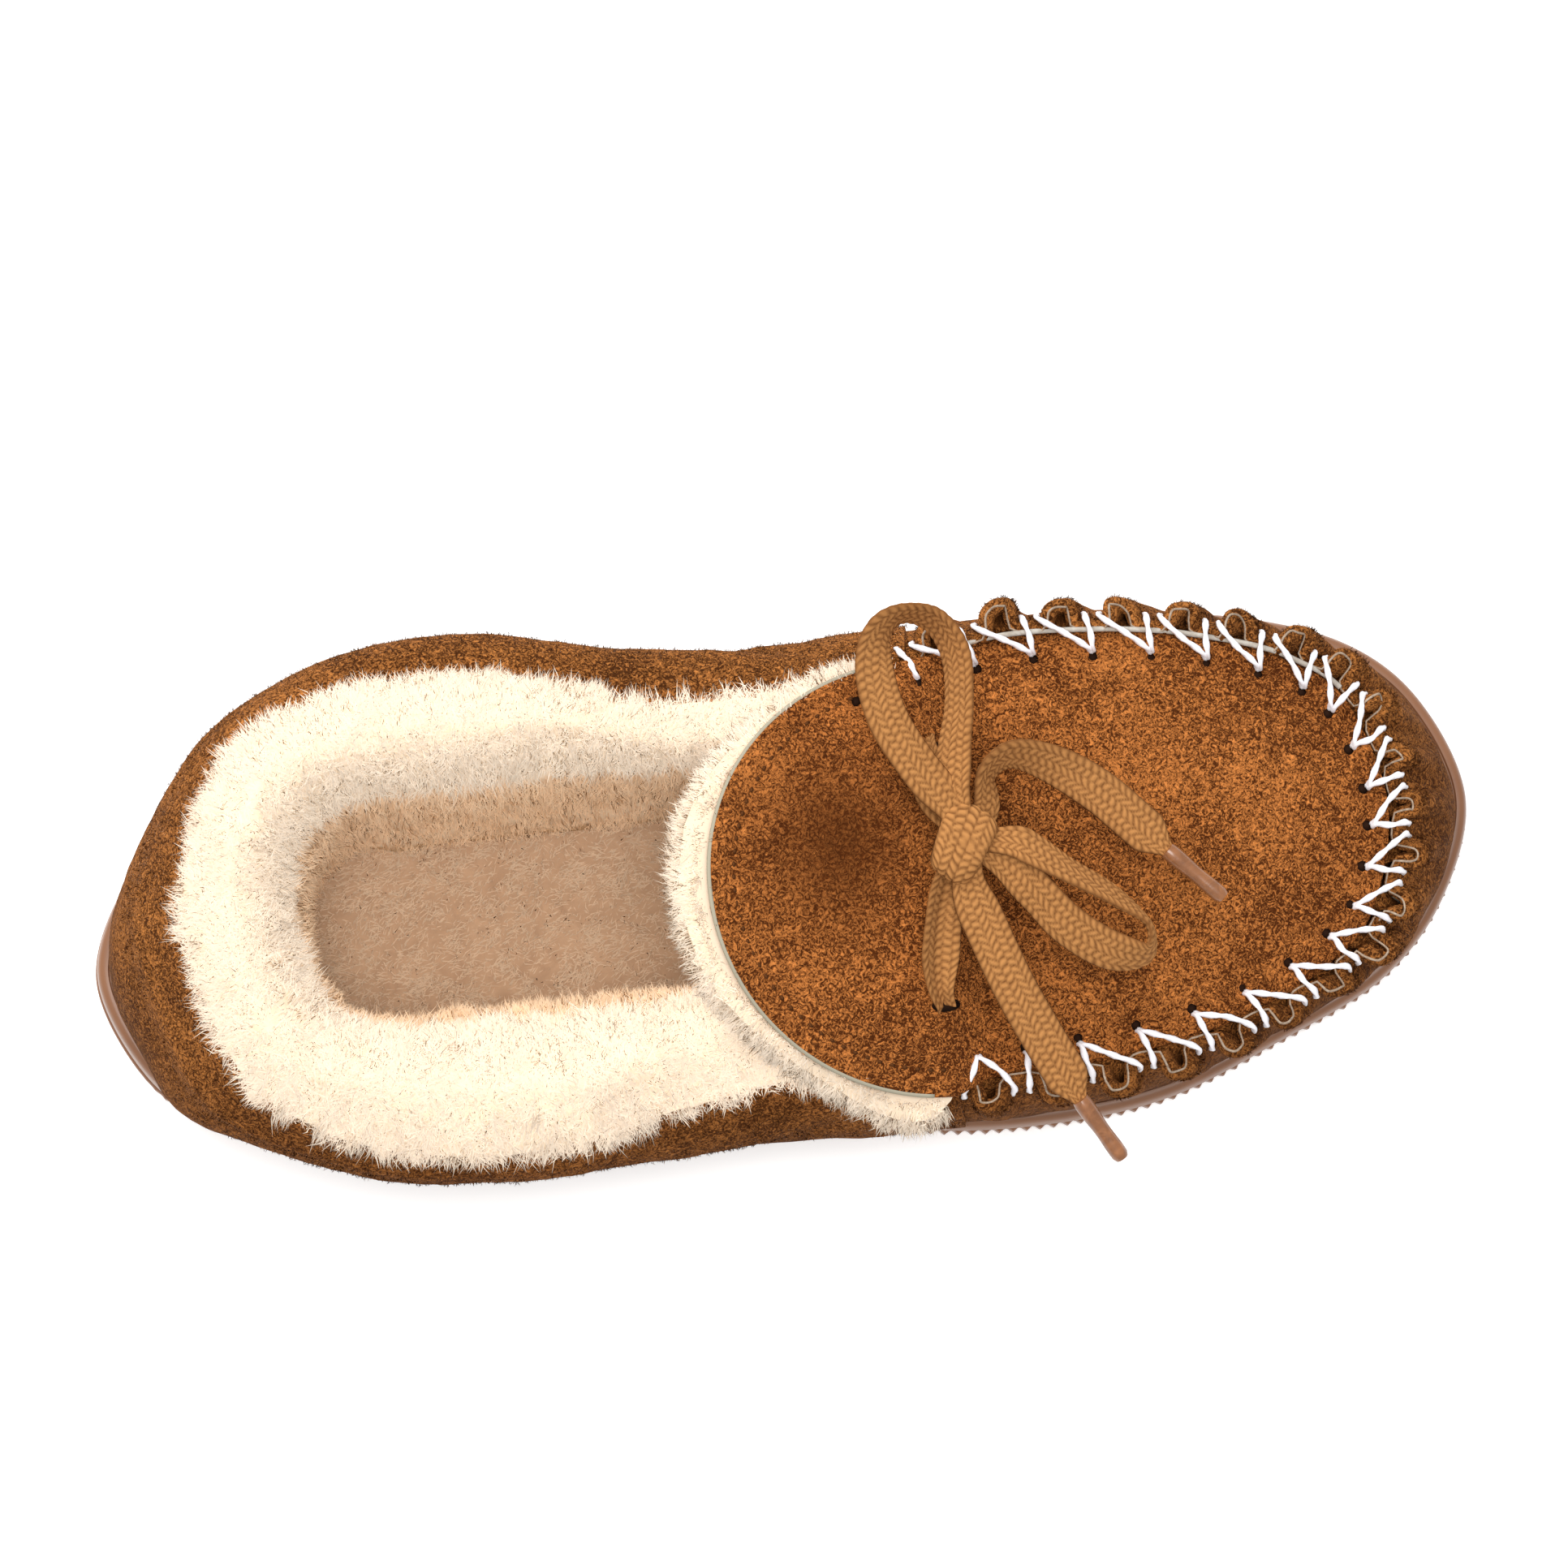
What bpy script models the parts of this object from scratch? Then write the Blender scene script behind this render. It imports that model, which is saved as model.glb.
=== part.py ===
"""Moccasin slipper, right shoe, standing on its sole.

Lengths are in metres. +X points to the toe, +Y to the inner (big toe) side and +Z up.
The origin is on the floor, midway along the shoe and midway across it.
"""
import math

import bmesh
import bpy
import numpy as np
from mathutils import Matrix, Vector

# Main sizes of the shoe
SHOE_LENGTH = 0.256
BALL_WIDTH = 0.094
HEEL_WIDTH = 0.062
COLLAR_HEIGHT = 0.062
TOE_HEIGHT = 0.042
TONGUE_HEIGHT = 0.077
SIDE_SHIFT = 0.0002

# Clearance between pieces that touch
GAP = 0.0003

# How far the wall leans in at heel and toe, at its belly and at its top edge
HEEL_BELLY_LEAN = 0.007
TOE_BELLY_LEAN = 0.006
HEEL_RIM_LEAN = 0.018
TOE_RIM_LEAN = 0.017

# Outsole
HEEL_THICKNESS = 0.0115
FORE_THICKNESS = 0.0090
TOE_SPRING = 0.0080
HEEL_SPRING = 0.0010
ARCH_LIFT = 0.0015
TOOTH_PITCH = 0.0027
TOOTH_DEPTH = 0.0007
TOOTH_HEIGHT = 0.0036
TOOTH_FOOT = 0.0005
SOLE_STEP = 0.0012
SOLE_EDGE_ROUND = 0.0016
SOLE_RIM_LAND = 0.0060
LUG_GROOVE_WIDTH = 0.0024
LUG_GROOVE_DEPTH = 0.0014
LUG_PITCH = 0.0088
LUG_MARGIN = 0.0100

# Stretches of the sole, as shares of its length from heel to toe
HEEL_SPRING_END = 0.06
HEEL_LUGS = (0.09, 0.30)
WAIST_RISE = (0.32, 0.42)
WAIST_FALL = (0.46, 0.56)
THINNING = (0.25, 0.65)
BALL_LUGS = (0.57, 0.80)
TOE_SPRING_START = 0.76
SMOOTH_HEEL = (0.02, 0.07)

# Upper
FEATHER_INSET = 0.0042
UPPER_WALL = 0.0022
QUARTER_STEP = 0.0012
PUCKER_COUNT = 21
PUCKER_DEPTH = 0.0050
PUCKER_SIDE_WALL = 0.0013
PUCKER_RISE = 0.0008
PUCKER_TOE_CROWDING = 0.35
FOLD_START = 0.42
FOLD_POWER = 1.6
FOLD_ROUNDNESS = 0.8

# Plug with its tongue
PLUG_WALL = 0.0020
PLUG_CROWN = 0.0060
PLUG_SINK = 0.0004
PLUG_START = 0.32
TONGUE_REACH = 0.0400
TONGUE_CURVE = 1.2
TONGUE_HALF_WIDTH = 0.0384
TONGUE_SIDEWAYS = -0.0050
TONGUE_DISH = 0.0025
TONGUE_DISH_REACH = 0.0160
TONGUE_DISH_PLACE = 0.45
EAR_LIFT = 0.0050
EAR_LENGTH = 0.0070

# Insole and fleece
INSOLE_THICKNESS = 0.0050
INSOLE_INSET = 0.0012
COLLAR_CREST = 0.0065
COLLAR_MIN_CREST = 0.0005
COLLAR_END_REACH = 0.0100
COLLAR_FADE_START = 0.0300
COLLAR_FADE_END = 0.0700
COLLAR_OVERHANG = 0.0010
COLLAR_RIM_CLEARANCE = 0.0006
CAVITY_HALF_WIDTH = 0.0200
CAVITY_FOOT_HALF_WIDTH = 0.0160
CAVITY_BELLY_GAIN = 0.0015
CAVITY_CORNER = 0.0160
CAVITY_HEEL_DEPTH = 0.0210
CAVITY_ROUNDNESS = 2.4
CAVITY_BELLY_SHARE = 0.62
CAVITY_EDGE_DROP = 0.0040
COLLAR_LIP_SHARE = 0.25
COLLAR_FOOT_LEVEL = 0.04
COLLAR_TOP_LEVEL = 0.97

# The collar's arch. Columns: place between rim and hollow, then height as a share of the crest.
COLLAR_ARCH = ((0.22, 0.85), (0.55, 1.0), (0.85, 0.55))
LOCK_LENGTH = 0.0066
LOCK_WIDTH = 0.0062
LOCK_SIDES = 5
LOCK_SWAY = 0.35
LOCK_RISE = 0.1
LOCK_SEAT = 0.7
LOCK_END_MARGIN = 3
TONGUE_FLEECE_THICKNESS = 0.0065
TONGUE_FLEECE_EDGE = 0.0025
TONGUE_FLEECE_GAP = 0.0008
TONGUE_FLEECE_REST = 0.6

# Lace
LACE_WIDTH = 0.0080
LACE_THICKNESS = 0.0013
KNOT_LENGTH = 0.0120
KNOT_WIDTH = 0.0100
KNOT_THICKNESS = 0.0052
KNOT_SOFTNESS = 0.4
CROSSING_SHARE = 0.7
AGLET_LENGTH = 0.0130
AGLET_RADIUS = 0.0015

# One row for each cross-section from heel to toe. Widths are shares of the half-width at the
# section, which goes from the heel's to the ball's by the share under "ball". The belly's height
# is a share of the rim's height, and the rim rises from the toe's height to the collar's.
SECTION_COLUMNS = ("length", "ball", "sole_out", "sole_in", "belly_out", "belly_in", "belly_height",
                   "rim_out", "rim_in", "rim_rise")
SECTIONS = (
    (0.000, 0.00, 0.03, -0.03, 0.00, 0.00, 0.65, -0.06, 0.06, 1.08),
    (0.030, 0.00, 0.67, 0.56, 0.86, 0.68, 0.66, 0.76, 0.79, 1.07),
    (0.080, 0.00, 0.96, 0.90, 1.17, 1.15, 0.69, 1.15, 1.17, 1.03),
    (0.170, 0.00, 1.03, 1.00, 1.44, 1.46, 0.72, 1.40, 1.32, 0.96),
    (0.270, 0.00, 1.01, 0.97, 1.51, 1.52, 0.73, 1.45, 1.28, 0.92),
    (0.380, 0.25, 0.94, 0.82, 1.34, 1.22, 0.73, 1.17, 0.91, 0.91),
    (0.490, 0.60, 0.97, 0.77, 1.15, 1.00, 0.72, 0.94, 0.77, 0.88),
    (0.585, 1.00, 0.98, 0.80, 1.00, 0.88, 0.69, 0.90, 0.75, 0.80),
    (0.675, 1.00, 1.01, 0.94, 0.99, 0.92, 0.65, 0.91, 0.83, 0.70),
    (0.760, 1.00, 0.96, 0.99, 0.93, 0.92, 0.64, 0.87, 0.83, 0.53),
    (0.845, 1.00, 0.79, 0.94, 0.78, 0.84, 0.65, 0.78, 0.78, 0.32),
    (0.925, 1.00, 0.59, 0.78, 0.58, 0.67, 0.67, 0.61, 0.66, 0.13),
    (0.975, 1.00, 0.30, 0.51, 0.34, 0.44, 0.69, 0.39, 0.46, 0.04),
    (1.000, 1.00, -0.09, 0.09, -0.05, 0.05, 0.69, -0.03, 0.03, 0.00),
)
THROAT_ROW = 7.2
LOOP_ROWS = 2 * (len(SECTIONS) - 1)

# The wool under the tongue. Columns: place along the shoe from the throat, as a share of the
# tongue's reach, then its outer and inner edge, as shares of the tongue's half-width.
TONGUE_FLEECE_ROWS = (
    (-1.15, 0.00, 0.00),
    (-1.07, 0.37, 0.37),
    (-0.85, 0.67, 0.66),
    (-0.58, 0.90, 0.86),
    (-0.35, 1.06, 0.97),
    (-0.18, 1.11, 1.00),
    (-0.04, 1.03, 0.97),
    (0.08, 0.80, 0.80),
    (0.20, 0.55, 0.55),
    (0.30, 0.00, 0.00),
)

# Routes of the lace, chosen by hand: along, across and above the floor, and the roll of the
# ribbon in degrees, where 0 lies flat and 90 stands on its edge.
CROSSING_ROUTE = (
    (0.0214, -0.0262, 0.0687, 0),
    (0.0214, -0.0200, 0.0698, 0),
    (0.0225, -0.0120, 0.0704, 0),
    (0.0245, -0.0010, 0.0705, 0),
    (0.0248, 0.0080, 0.0699, 0),
    (0.0240, 0.0165, 0.0684, 0),
)
LOOP_1_ROUTE = (
    (0.0262, 0.0060, 0.0764, 10),
    (0.0215, 0.0130, 0.0780, 15),
    (0.0172, 0.0215, 0.0794, 15),
    (0.0158, 0.0305, 0.0797, 25),
    (0.0175, 0.0370, 0.0790, 50),
    (0.0222, 0.0400, 0.0777, 75),
    (0.0275, 0.0385, 0.0764, 65),
    (0.0306, 0.0325, 0.0756, 55),
    (0.0303, 0.0240, 0.0752, 55),
    (0.0285, 0.0160, 0.0754, 45),
    (0.0273, 0.0090, 0.0760, 30),
)
LOOP_2_ROUTE = (
    (0.0362, -0.0062, 0.0740, 20),
    (0.0400, -0.0112, 0.0742, 35),
    (0.0450, -0.0175, 0.0737, 30),
    (0.0520, -0.0225, 0.0726, 35),
    (0.0582, -0.0235, 0.0719, 70),
    (0.0590, -0.0185, 0.0722, 80),
    (0.0535, -0.0130, 0.0734, 60),
    (0.0455, -0.0075, 0.0747, 50),
    (0.0400, -0.0035, 0.0752, 35),
    (0.0372, -0.0018, 0.0752, 20),
)
END_1_ROUTE = (
    (0.0330, 0.0050, 0.0728, 40),
    (0.0338, 0.0110, 0.0728, 65),
    (0.0385, 0.0140, 0.0722, 60),
    (0.0450, 0.0120, 0.0710, 40),
    (0.0530, 0.0065, 0.0694, 15),
    (0.0600, -0.0005, 0.0677, 5),
    (0.0648, -0.0055, 0.0664, 0),
)
END_2_ROUTE = (
    (0.0283, -0.0088, 0.0742, 5),
    (0.0305, -0.0160, 0.0730, 0),
    (0.0340, -0.0260, 0.0712, 0),
    (0.0380, -0.0350, 0.0690, 0),
    (0.0420, -0.0430, 0.0667, 0),
    (0.0442, -0.0475, 0.0650, 0),
)
KNOT_PLACE = (0.0290, -0.0012, 0.0741)
KNOT_TURN = math.radians(-28.0)

# How finely the pieces are faceted
SOLE_CELLS_ACROSS = 3
UPPER_COLUMNS_PER_PUCKER = 6
UPPER_QUARTER_COLUMNS = 19
UPPER_LEVELS = (0.0, 0.22, 0.46, 0.66, 0.84, 1.0)
PLUG_CELLS_ACROSS = 8
PLUG_COLUMNS = 18
INSOLE_COLUMNS = 34
RIBBON_STEP = 0.0030


def column(name):
    """One named column of the cross-section table."""
    return np.array(SECTIONS)[:, SECTION_COLUMNS.index(name)]


def smooth_step(value, start, end):
    """0 before start, 1 after end, with a soft change between them."""
    share = np.clip((value - start) / (end - start), 0.0, 1.0)
    return share * share * (3.0 - 2.0 * share)


def spline(rows, places, closed):
    """Catmull-Rom curve through rows, read at places that count rows from 0."""
    rows = np.asarray(rows, dtype=float)
    places = np.asarray(places, dtype=float)
    count = len(rows)
    if closed:
        first = np.floor(places).astype(int)
        picks = [rows[(first + step) % count] for step in (-1, 0, 1, 2)]
    else:
        first = np.clip(np.floor(places).astype(int), 0, count - 2)
        before = 2.0 * rows[0] - rows[1]
        after = 2.0 * rows[-1] - rows[-2]
        padded = np.vstack([before, rows, after])
        picks = [padded[first + step] for step in (0, 1, 2, 3)]
    part = (places - first)[:, None]
    p0, p1, p2, p3 = picks
    return 0.5 * (2.0 * p1 + (p2 - p0) * part + (2.0 * p0 - 5.0 * p1 + 4.0 * p2 - p3) * part ** 2
                  + (3.0 * p1 - p0 - 3.0 * p2 + p3) * part ** 3)


def section_loop(outer_name, inner_name, back, front, rise=None):
    """Closed loop of table rows: heel, outer side, toe, inner side. Height is the third column."""
    half = HEEL_WIDTH / 2 + column("ball") * (BALL_WIDTH - HEEL_WIDTH) / 2
    along = back + column("length") * (front - back)
    height = np.zeros(len(along)) if rise is None else rise
    outer = np.column_stack([along, -column(outer_name) * half, height])
    inner = np.column_stack([along, column(inner_name) * half, height])
    return np.vstack([outer, inner[-2:0:-1]])


def rim_heights():
    """Height of the upper's top edge at each row of the table."""
    return TOE_HEIGHT + column("rim_rise") * (COLLAR_HEIGHT - TOE_HEIGHT)


def sole_line(places):
    """Outline of the outsole at its widest, on the plan."""
    return spline(section_loop("sole_out", "sole_in", -SHOE_LENGTH / 2, SHOE_LENGTH / 2), places, True)


def belly_line(places):
    """Line round the upper where its wall bulges most."""
    rows = section_loop("belly_out", "belly_in", -SHOE_LENGTH / 2 + HEEL_BELLY_LEAN,
                        SHOE_LENGTH / 2 - TOE_BELLY_LEAN, rim_heights() * column("belly_height"))
    return spline(rows, places, True)


def rim_line(places):
    """Top edge of the upper: the collar at the back, the valleys of the puckers in front."""
    rows = section_loop("rim_out", "rim_in", -SHOE_LENGTH / 2 + HEEL_RIM_LEAN,
                        SHOE_LENGTH / 2 - TOE_RIM_LEAN, rim_heights())
    return spline(rows, places, True)


def outward(line, places):
    """Level unit normals away from the shoe, for a loop that runs anticlockwise seen from above."""
    ahead = line(places + 0.01)
    behind = line(places - 0.01)
    along = ahead[:, :2] - behind[:, :2]
    normal = np.column_stack([along[:, 1], -along[:, 0], np.zeros(len(along))])
    return normal / np.linalg.norm(normal, axis=1, keepdims=True)


def even_places(line, count, start=0.0, end=LOOP_ROWS, tight=None):
    """Places that divide a stretch of a line into count equal runs, or tighter ones where told."""
    fine = np.linspace(start, end, 1600)
    points = line(fine)
    steps = np.linalg.norm(np.diff(points, axis=0), axis=1)
    if tight is not None:
        steps = steps * tight(0.5 * (fine[1:] + fine[:-1]))
    length = np.concatenate([[0.0], np.cumsum(steps)])
    return np.interp(np.linspace(0.0, length[-1], count + 1), length, fine)


def floor_line(along):
    """Height of the sole's underside: flat heel and ball, lifted waist, toe spring."""
    share = along / SHOE_LENGTH + 0.5
    waist = smooth_step(share, *WAIST_RISE) * (1.0 - smooth_step(share, *WAIST_FALL))
    return spring_line(share) + ARCH_LIFT * waist


def spring_line(share):
    """How far the sole curls up at heel and toe."""
    toe = np.clip((share - TOE_SPRING_START) / (1.0 - TOE_SPRING_START), 0.0, 1.0) ** 2
    heel = np.clip((HEEL_SPRING_END - share) / HEEL_SPRING_END, 0.0, 1.0) ** 2
    return TOE_SPRING * toe + HEEL_SPRING * heel


def sole_top(along):
    """Height of the sole's upper face."""
    share = along / SHOE_LENGTH + 0.5
    thinner = (HEEL_THICKNESS - FORE_THICKNESS) * smooth_step(share, *THINNING)
    return spring_line(share) + HEEL_THICKNESS - thinner


def sole_ring(places, inset, lift):
    """Ring of the sole's side, inset from its outline and lifted from its underside."""
    ring = sole_line(places) - outward(sole_line, places) * np.reshape(inset, (-1, 1))
    ring[:, 2] = floor_line(ring[:, 0]) + lift
    return ring


def top_ring(places, inset, drop):
    """Ring of the sole's side, inset from its outline and dropped from its upper face."""
    ring = sole_line(places) - outward(sole_line, places) * inset
    ring[:, 2] = sole_top(ring[:, 0]) - drop
    return ring


def pucker_places():
    """Valleys of the puckers, tighter round the toe."""
    middle = LOOP_ROWS / 2

    def tight(place):
        return 1.0 + PUCKER_TOE_CROWDING * np.exp(-((place - middle) / 2.2) ** 2)

    return even_places(rim_line, PUCKER_COUNT, THROAT_ROW, LOOP_ROWS - THROAT_ROW, tight)


def pucker_phase(places):
    """How far along its own pucker each place is, from 0 to 1, and whether it is on the vamp."""
    valleys = pucker_places()
    number = np.interp(places, valleys, np.arange(len(valleys)))
    on_vamp = (places > valleys[0]) & (places < valleys[-1])
    return np.where(on_vamp, number - np.floor(number), 0.0)


def bare_wall(places, level):
    """The upper's outer face without puckers: a parabola from feather edge over belly to rim."""
    feather = sole_line(places) - outward(sole_line, places) * FEATHER_INSET
    feather[:, 2] = sole_top(feather[:, 0]) + GAP
    belly = belly_line(places)
    rim = rim_line(places)
    return (feather * (1.0 - level) * (1.0 - 2.0 * level) + belly * 4.0 * level * (1.0 - level)
            + rim * level * (2.0 * level - 1.0))


def wall_normals(places, level):
    """Outward unit normals of the wall without puckers."""
    along = bare_wall(places + 0.02, level) - bare_wall(places - 0.02, level)
    low = max(level - 0.02, 0.0)
    high = min(level + 0.02, 1.0)
    up = bare_wall(places, high) - bare_wall(places, low)
    normal = np.cross(along, up)
    return normal / np.linalg.norm(normal, axis=1, keepdims=True)


def fold_depth(phase, level, hollow):
    """How far a pucker stands out. Its hollow side is narrower by the share hollow at each edge."""
    fade = np.clip((level - FOLD_START) / (1.0 - FOLD_START), 0.0, 1.0) ** FOLD_POWER
    inside = np.clip((phase - hollow) / (1.0 - 2.0 * hollow), 0.0, 1.0)
    return PUCKER_DEPTH * np.sin(math.pi * inside) ** FOLD_ROUNDNESS * fade


def on_quarter(places):
    """1 on the quarters, which lie over the vamp, and 0 on the vamp."""
    return ((places < THROAT_ROW) | (places > LOOP_ROWS - THROAT_ROW)).astype(float)


def upper_face(places, level, depth, hollow):
    """A face of the upper's wall at a depth below its outer face, with its puckers."""
    wall = bare_wall(places, level)
    normals = wall_normals(places, level)
    phase = pucker_phase(places)
    fold = fold_depth(phase, level, hollow)
    step = QUARTER_STEP * on_quarter(places) * (depth == 0.0)
    face = wall + normals * (step - depth)[:, None]
    face = face + outward(rim_line, places) * fold[:, None]
    face[:, 2] += PUCKER_RISE * fold / PUCKER_DEPTH
    if level == 0.0:
        face[:, 2] = sole_top(face[:, 0]) + GAP
    return face


def upper_columns():
    """Places of the upper's columns: even on the quarters, a few for each pucker on the vamp."""
    valleys = pucker_places()
    fine = np.linspace(0, PUCKER_COUNT, PUCKER_COUNT * UPPER_COLUMNS_PER_PUCKER + 1)
    vamp = np.interp(fine, np.arange(PUCKER_COUNT + 1), valleys)
    step = 0.04
    outer_side = even_places(rim_line, UPPER_QUARTER_COLUMNS, 0.0, THROAT_ROW - step)
    inner_side = even_places(rim_line, UPPER_QUARTER_COLUMNS, LOOP_ROWS - THROAT_ROW + step, LOOP_ROWS)
    return outer_side, vamp, inner_side


def edge_height(along):
    """Height of the plug's edge, which dips into the seam in front of the tongue's ears."""
    rows = rim_line(np.arange(0, LOOP_ROWS // 2 + 1))
    rim = np.interp(along, rows[:, 0], rows[:, 2])
    lift = (EAR_LIFT + PLUG_SINK) * (1.0 - smooth_step(along, throat_x(), throat_x() + EAR_LENGTH))
    return rim - PLUG_SINK + lift


def throat_x():
    """Where the tongue's ears end and the sewn seam begins."""
    return float(rim_line(np.array([THROAT_ROW]))[0, 0])


def toe_x():
    """Front tip of the plug."""
    return SHOE_LENGTH / 2 - TOE_RIM_LEAN - UPPER_WALL - GAP


def plug_edges():
    """Outer and inner edges of the plug and tongue, in pairs from the tongue's tip to the toe."""
    turns = np.radians([0, 10, 21, 33, 46, 60, 75, 90])
    along = throat_x() - TONGUE_REACH * np.cos(turns)
    across = TONGUE_HALF_WIDTH * np.sin(turns)
    outer = np.column_stack([along, TONGUE_SIDEWAYS - across])
    inner = np.column_stack([along, TONGUE_SIDEWAYS + across])
    middle = LOOP_ROWS / 2
    places = even_places(rim_line, PLUG_COLUMNS, THROAT_ROW + PLUG_START, middle)
    seam_outer = rim_line(places) - outward(rim_line, places) * (UPPER_WALL + GAP)
    mirrored = LOOP_ROWS - places
    seam_inner = rim_line(mirrored) - outward(rim_line, mirrored) * (UPPER_WALL + GAP)
    return np.vstack([outer, seam_outer[:, :2]]), np.vstack([inner, seam_inner[:, :2]])


def plug_height(points):
    """Height of the plug's upper face over points of the plan."""
    outer, inner = plug_edges()
    along = points[:, 0]
    throat = throat_x()
    seam = outer[:, 0] > throat - 1e-6
    middle = np.interp(along, outer[seam, 0], 0.5 * (outer[seam, 1] + inner[seam, 1]))
    half = np.interp(along, outer[seam, 0], 0.5 * (inner[seam, 1] - outer[seam, 1]))
    share = np.clip(np.abs(points[:, 1] - middle) / np.maximum(half, 0.002), 0.0, 1.25)
    forward = np.clip((along - throat) / (toe_x() - throat), 0.0, 1.0)
    crown = PLUG_CROWN * (1.0 - forward ** 4)
    throat_edge = edge_height(np.array([throat]))[0]
    back = np.clip((throat - along) / TONGUE_REACH, 0.0, 1.3)
    rise = (TONGUE_HEIGHT - PLUG_CROWN - throat_edge) * back ** TONGUE_CURVE
    edge = np.where(along > throat, edge_height(np.maximum(along, throat)), throat_edge + rise)
    dish_x = along - (throat - TONGUE_DISH_PLACE * TONGUE_REACH)
    dish_y = points[:, 1] - TONGUE_SIDEWAYS
    dish = TONGUE_DISH * np.exp(-(dish_x ** 2 + dish_y ** 2) / TONGUE_DISH_REACH ** 2)
    return edge + crown * (1.0 - share ** 2) - dish


def cavity_line(places, half_width, heel_depth):
    """Plan of the foot's hollow beside each place of the collar: a slot with a rounded heel."""
    rim = rim_line(places)
    back = -SHOE_LENGTH / 2 + HEEL_RIM_LEAN
    share = (rim[:, 0] - back) / (throat_x() - back)
    along = back + heel_depth + share * (throat_x() - back - heel_depth)
    corner = np.clip((along - back - heel_depth) / CAVITY_CORNER, 0.0, 1.0)
    half = half_width * (1.0 - (1.0 - corner) ** CAVITY_ROUNDNESS) ** (1.0 / CAVITY_ROUNDNESS)
    side = np.where(places < LOOP_ROWS / 2, -1.0, 1.0)
    return np.column_stack([along, side * half, np.zeros(len(along))])


def insole_top(along):
    """Height of the insole's upper face."""
    return sole_top(along) + GAP + INSOLE_THICKNESS


def material(name, colour, roughness):
    """A plain material of the part's colour."""
    made = bpy.data.materials.new(name)
    made.use_nodes = True
    shader = made.node_tree.nodes["Principled BSDF"]
    shader.inputs["Base Color"].default_value = (*colour, 1.0)
    shader.inputs["Roughness"].default_value = roughness
    shader.inputs["Metallic"].default_value = 0.0
    return made


def place_mesh(name, points, faces, finish, collection):
    """A mesh object, moved sideways so that the shoe stands over its origin."""
    shifted = np.array(points, dtype=float) + np.array([0.0, SIDE_SHIFT, 0.0])
    mesh = bpy.data.meshes.new(name)
    mesh.from_pydata(shifted.tolist(), [], faces)
    body = bmesh.new()
    body.from_mesh(mesh)
    bmesh.ops.remove_doubles(body, verts=body.verts, dist=0.00001)
    bmesh.ops.triangulate(body, faces=body.faces)
    bmesh.ops.recalc_face_normals(body, faces=body.faces)
    body.to_mesh(mesh)
    body.free()
    mesh.shade_smooth()
    mesh.set_sharp_from_angle(angle=math.radians(40.0))
    made = bpy.data.objects.new(name, mesh)
    made.data.materials.append(finish)
    collection.objects.link(made)
    return made


def ring_faces(start_a, start_b, count, closed=True):
    """Quads between two rings of the same count."""
    last = count if closed else count - 1
    return [(start_a + i, start_a + (i + 1) % count, start_b + (i + 1) % count, start_b + i)
            for i in range(last)]


def fan_faces(fine_start, fine_count, coarse_start, coarse_count):
    """Triangles between a fine ring and a coarse one, where the fine count is a multiple."""
    each = fine_count // coarse_count
    faces = []
    for i in range(coarse_count):
        hub = coarse_start + i
        following = coarse_start + (i + 1) % coarse_count
        for j in range(each):
            first = fine_start + (i * each + j) % fine_count
            second = fine_start + (i * each + j + 1) % fine_count
            faces.append((first, second, hub if j < each // 2 else following))
        middle = fine_start + i * each + each // 2
        faces.append((middle, following, hub))
    return faces


def cap_strips(points, ring_start, count, cells, height):
    """Close a ring with strips that join its outer side to its inner side."""
    half = count // 2
    previous = [ring_start] * (cells + 1)
    faces = []
    for i in range(1, half + 1):
        outer = ring_start + i
        inner = ring_start + (count - i) % count
        row = [outer]
        if outer != inner:
            for k in range(1, cells):
                between = points[outer] + (points[inner] - points[outer]) * k / cells
                between[2] = height(np.array([between[0]]))[0]
                points.append(between)
                row.append(len(points) - 1)
            row.append(inner)
        else:
            row = [outer] * (cells + 1)
        for k in range(cells):
            corners = [previous[k], previous[k + 1], row[k + 1], row[k]]
            unique = list(dict.fromkeys(corners))
            if len(unique) > 2:
                faces.append(unique)
        previous = row
    return faces


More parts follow.
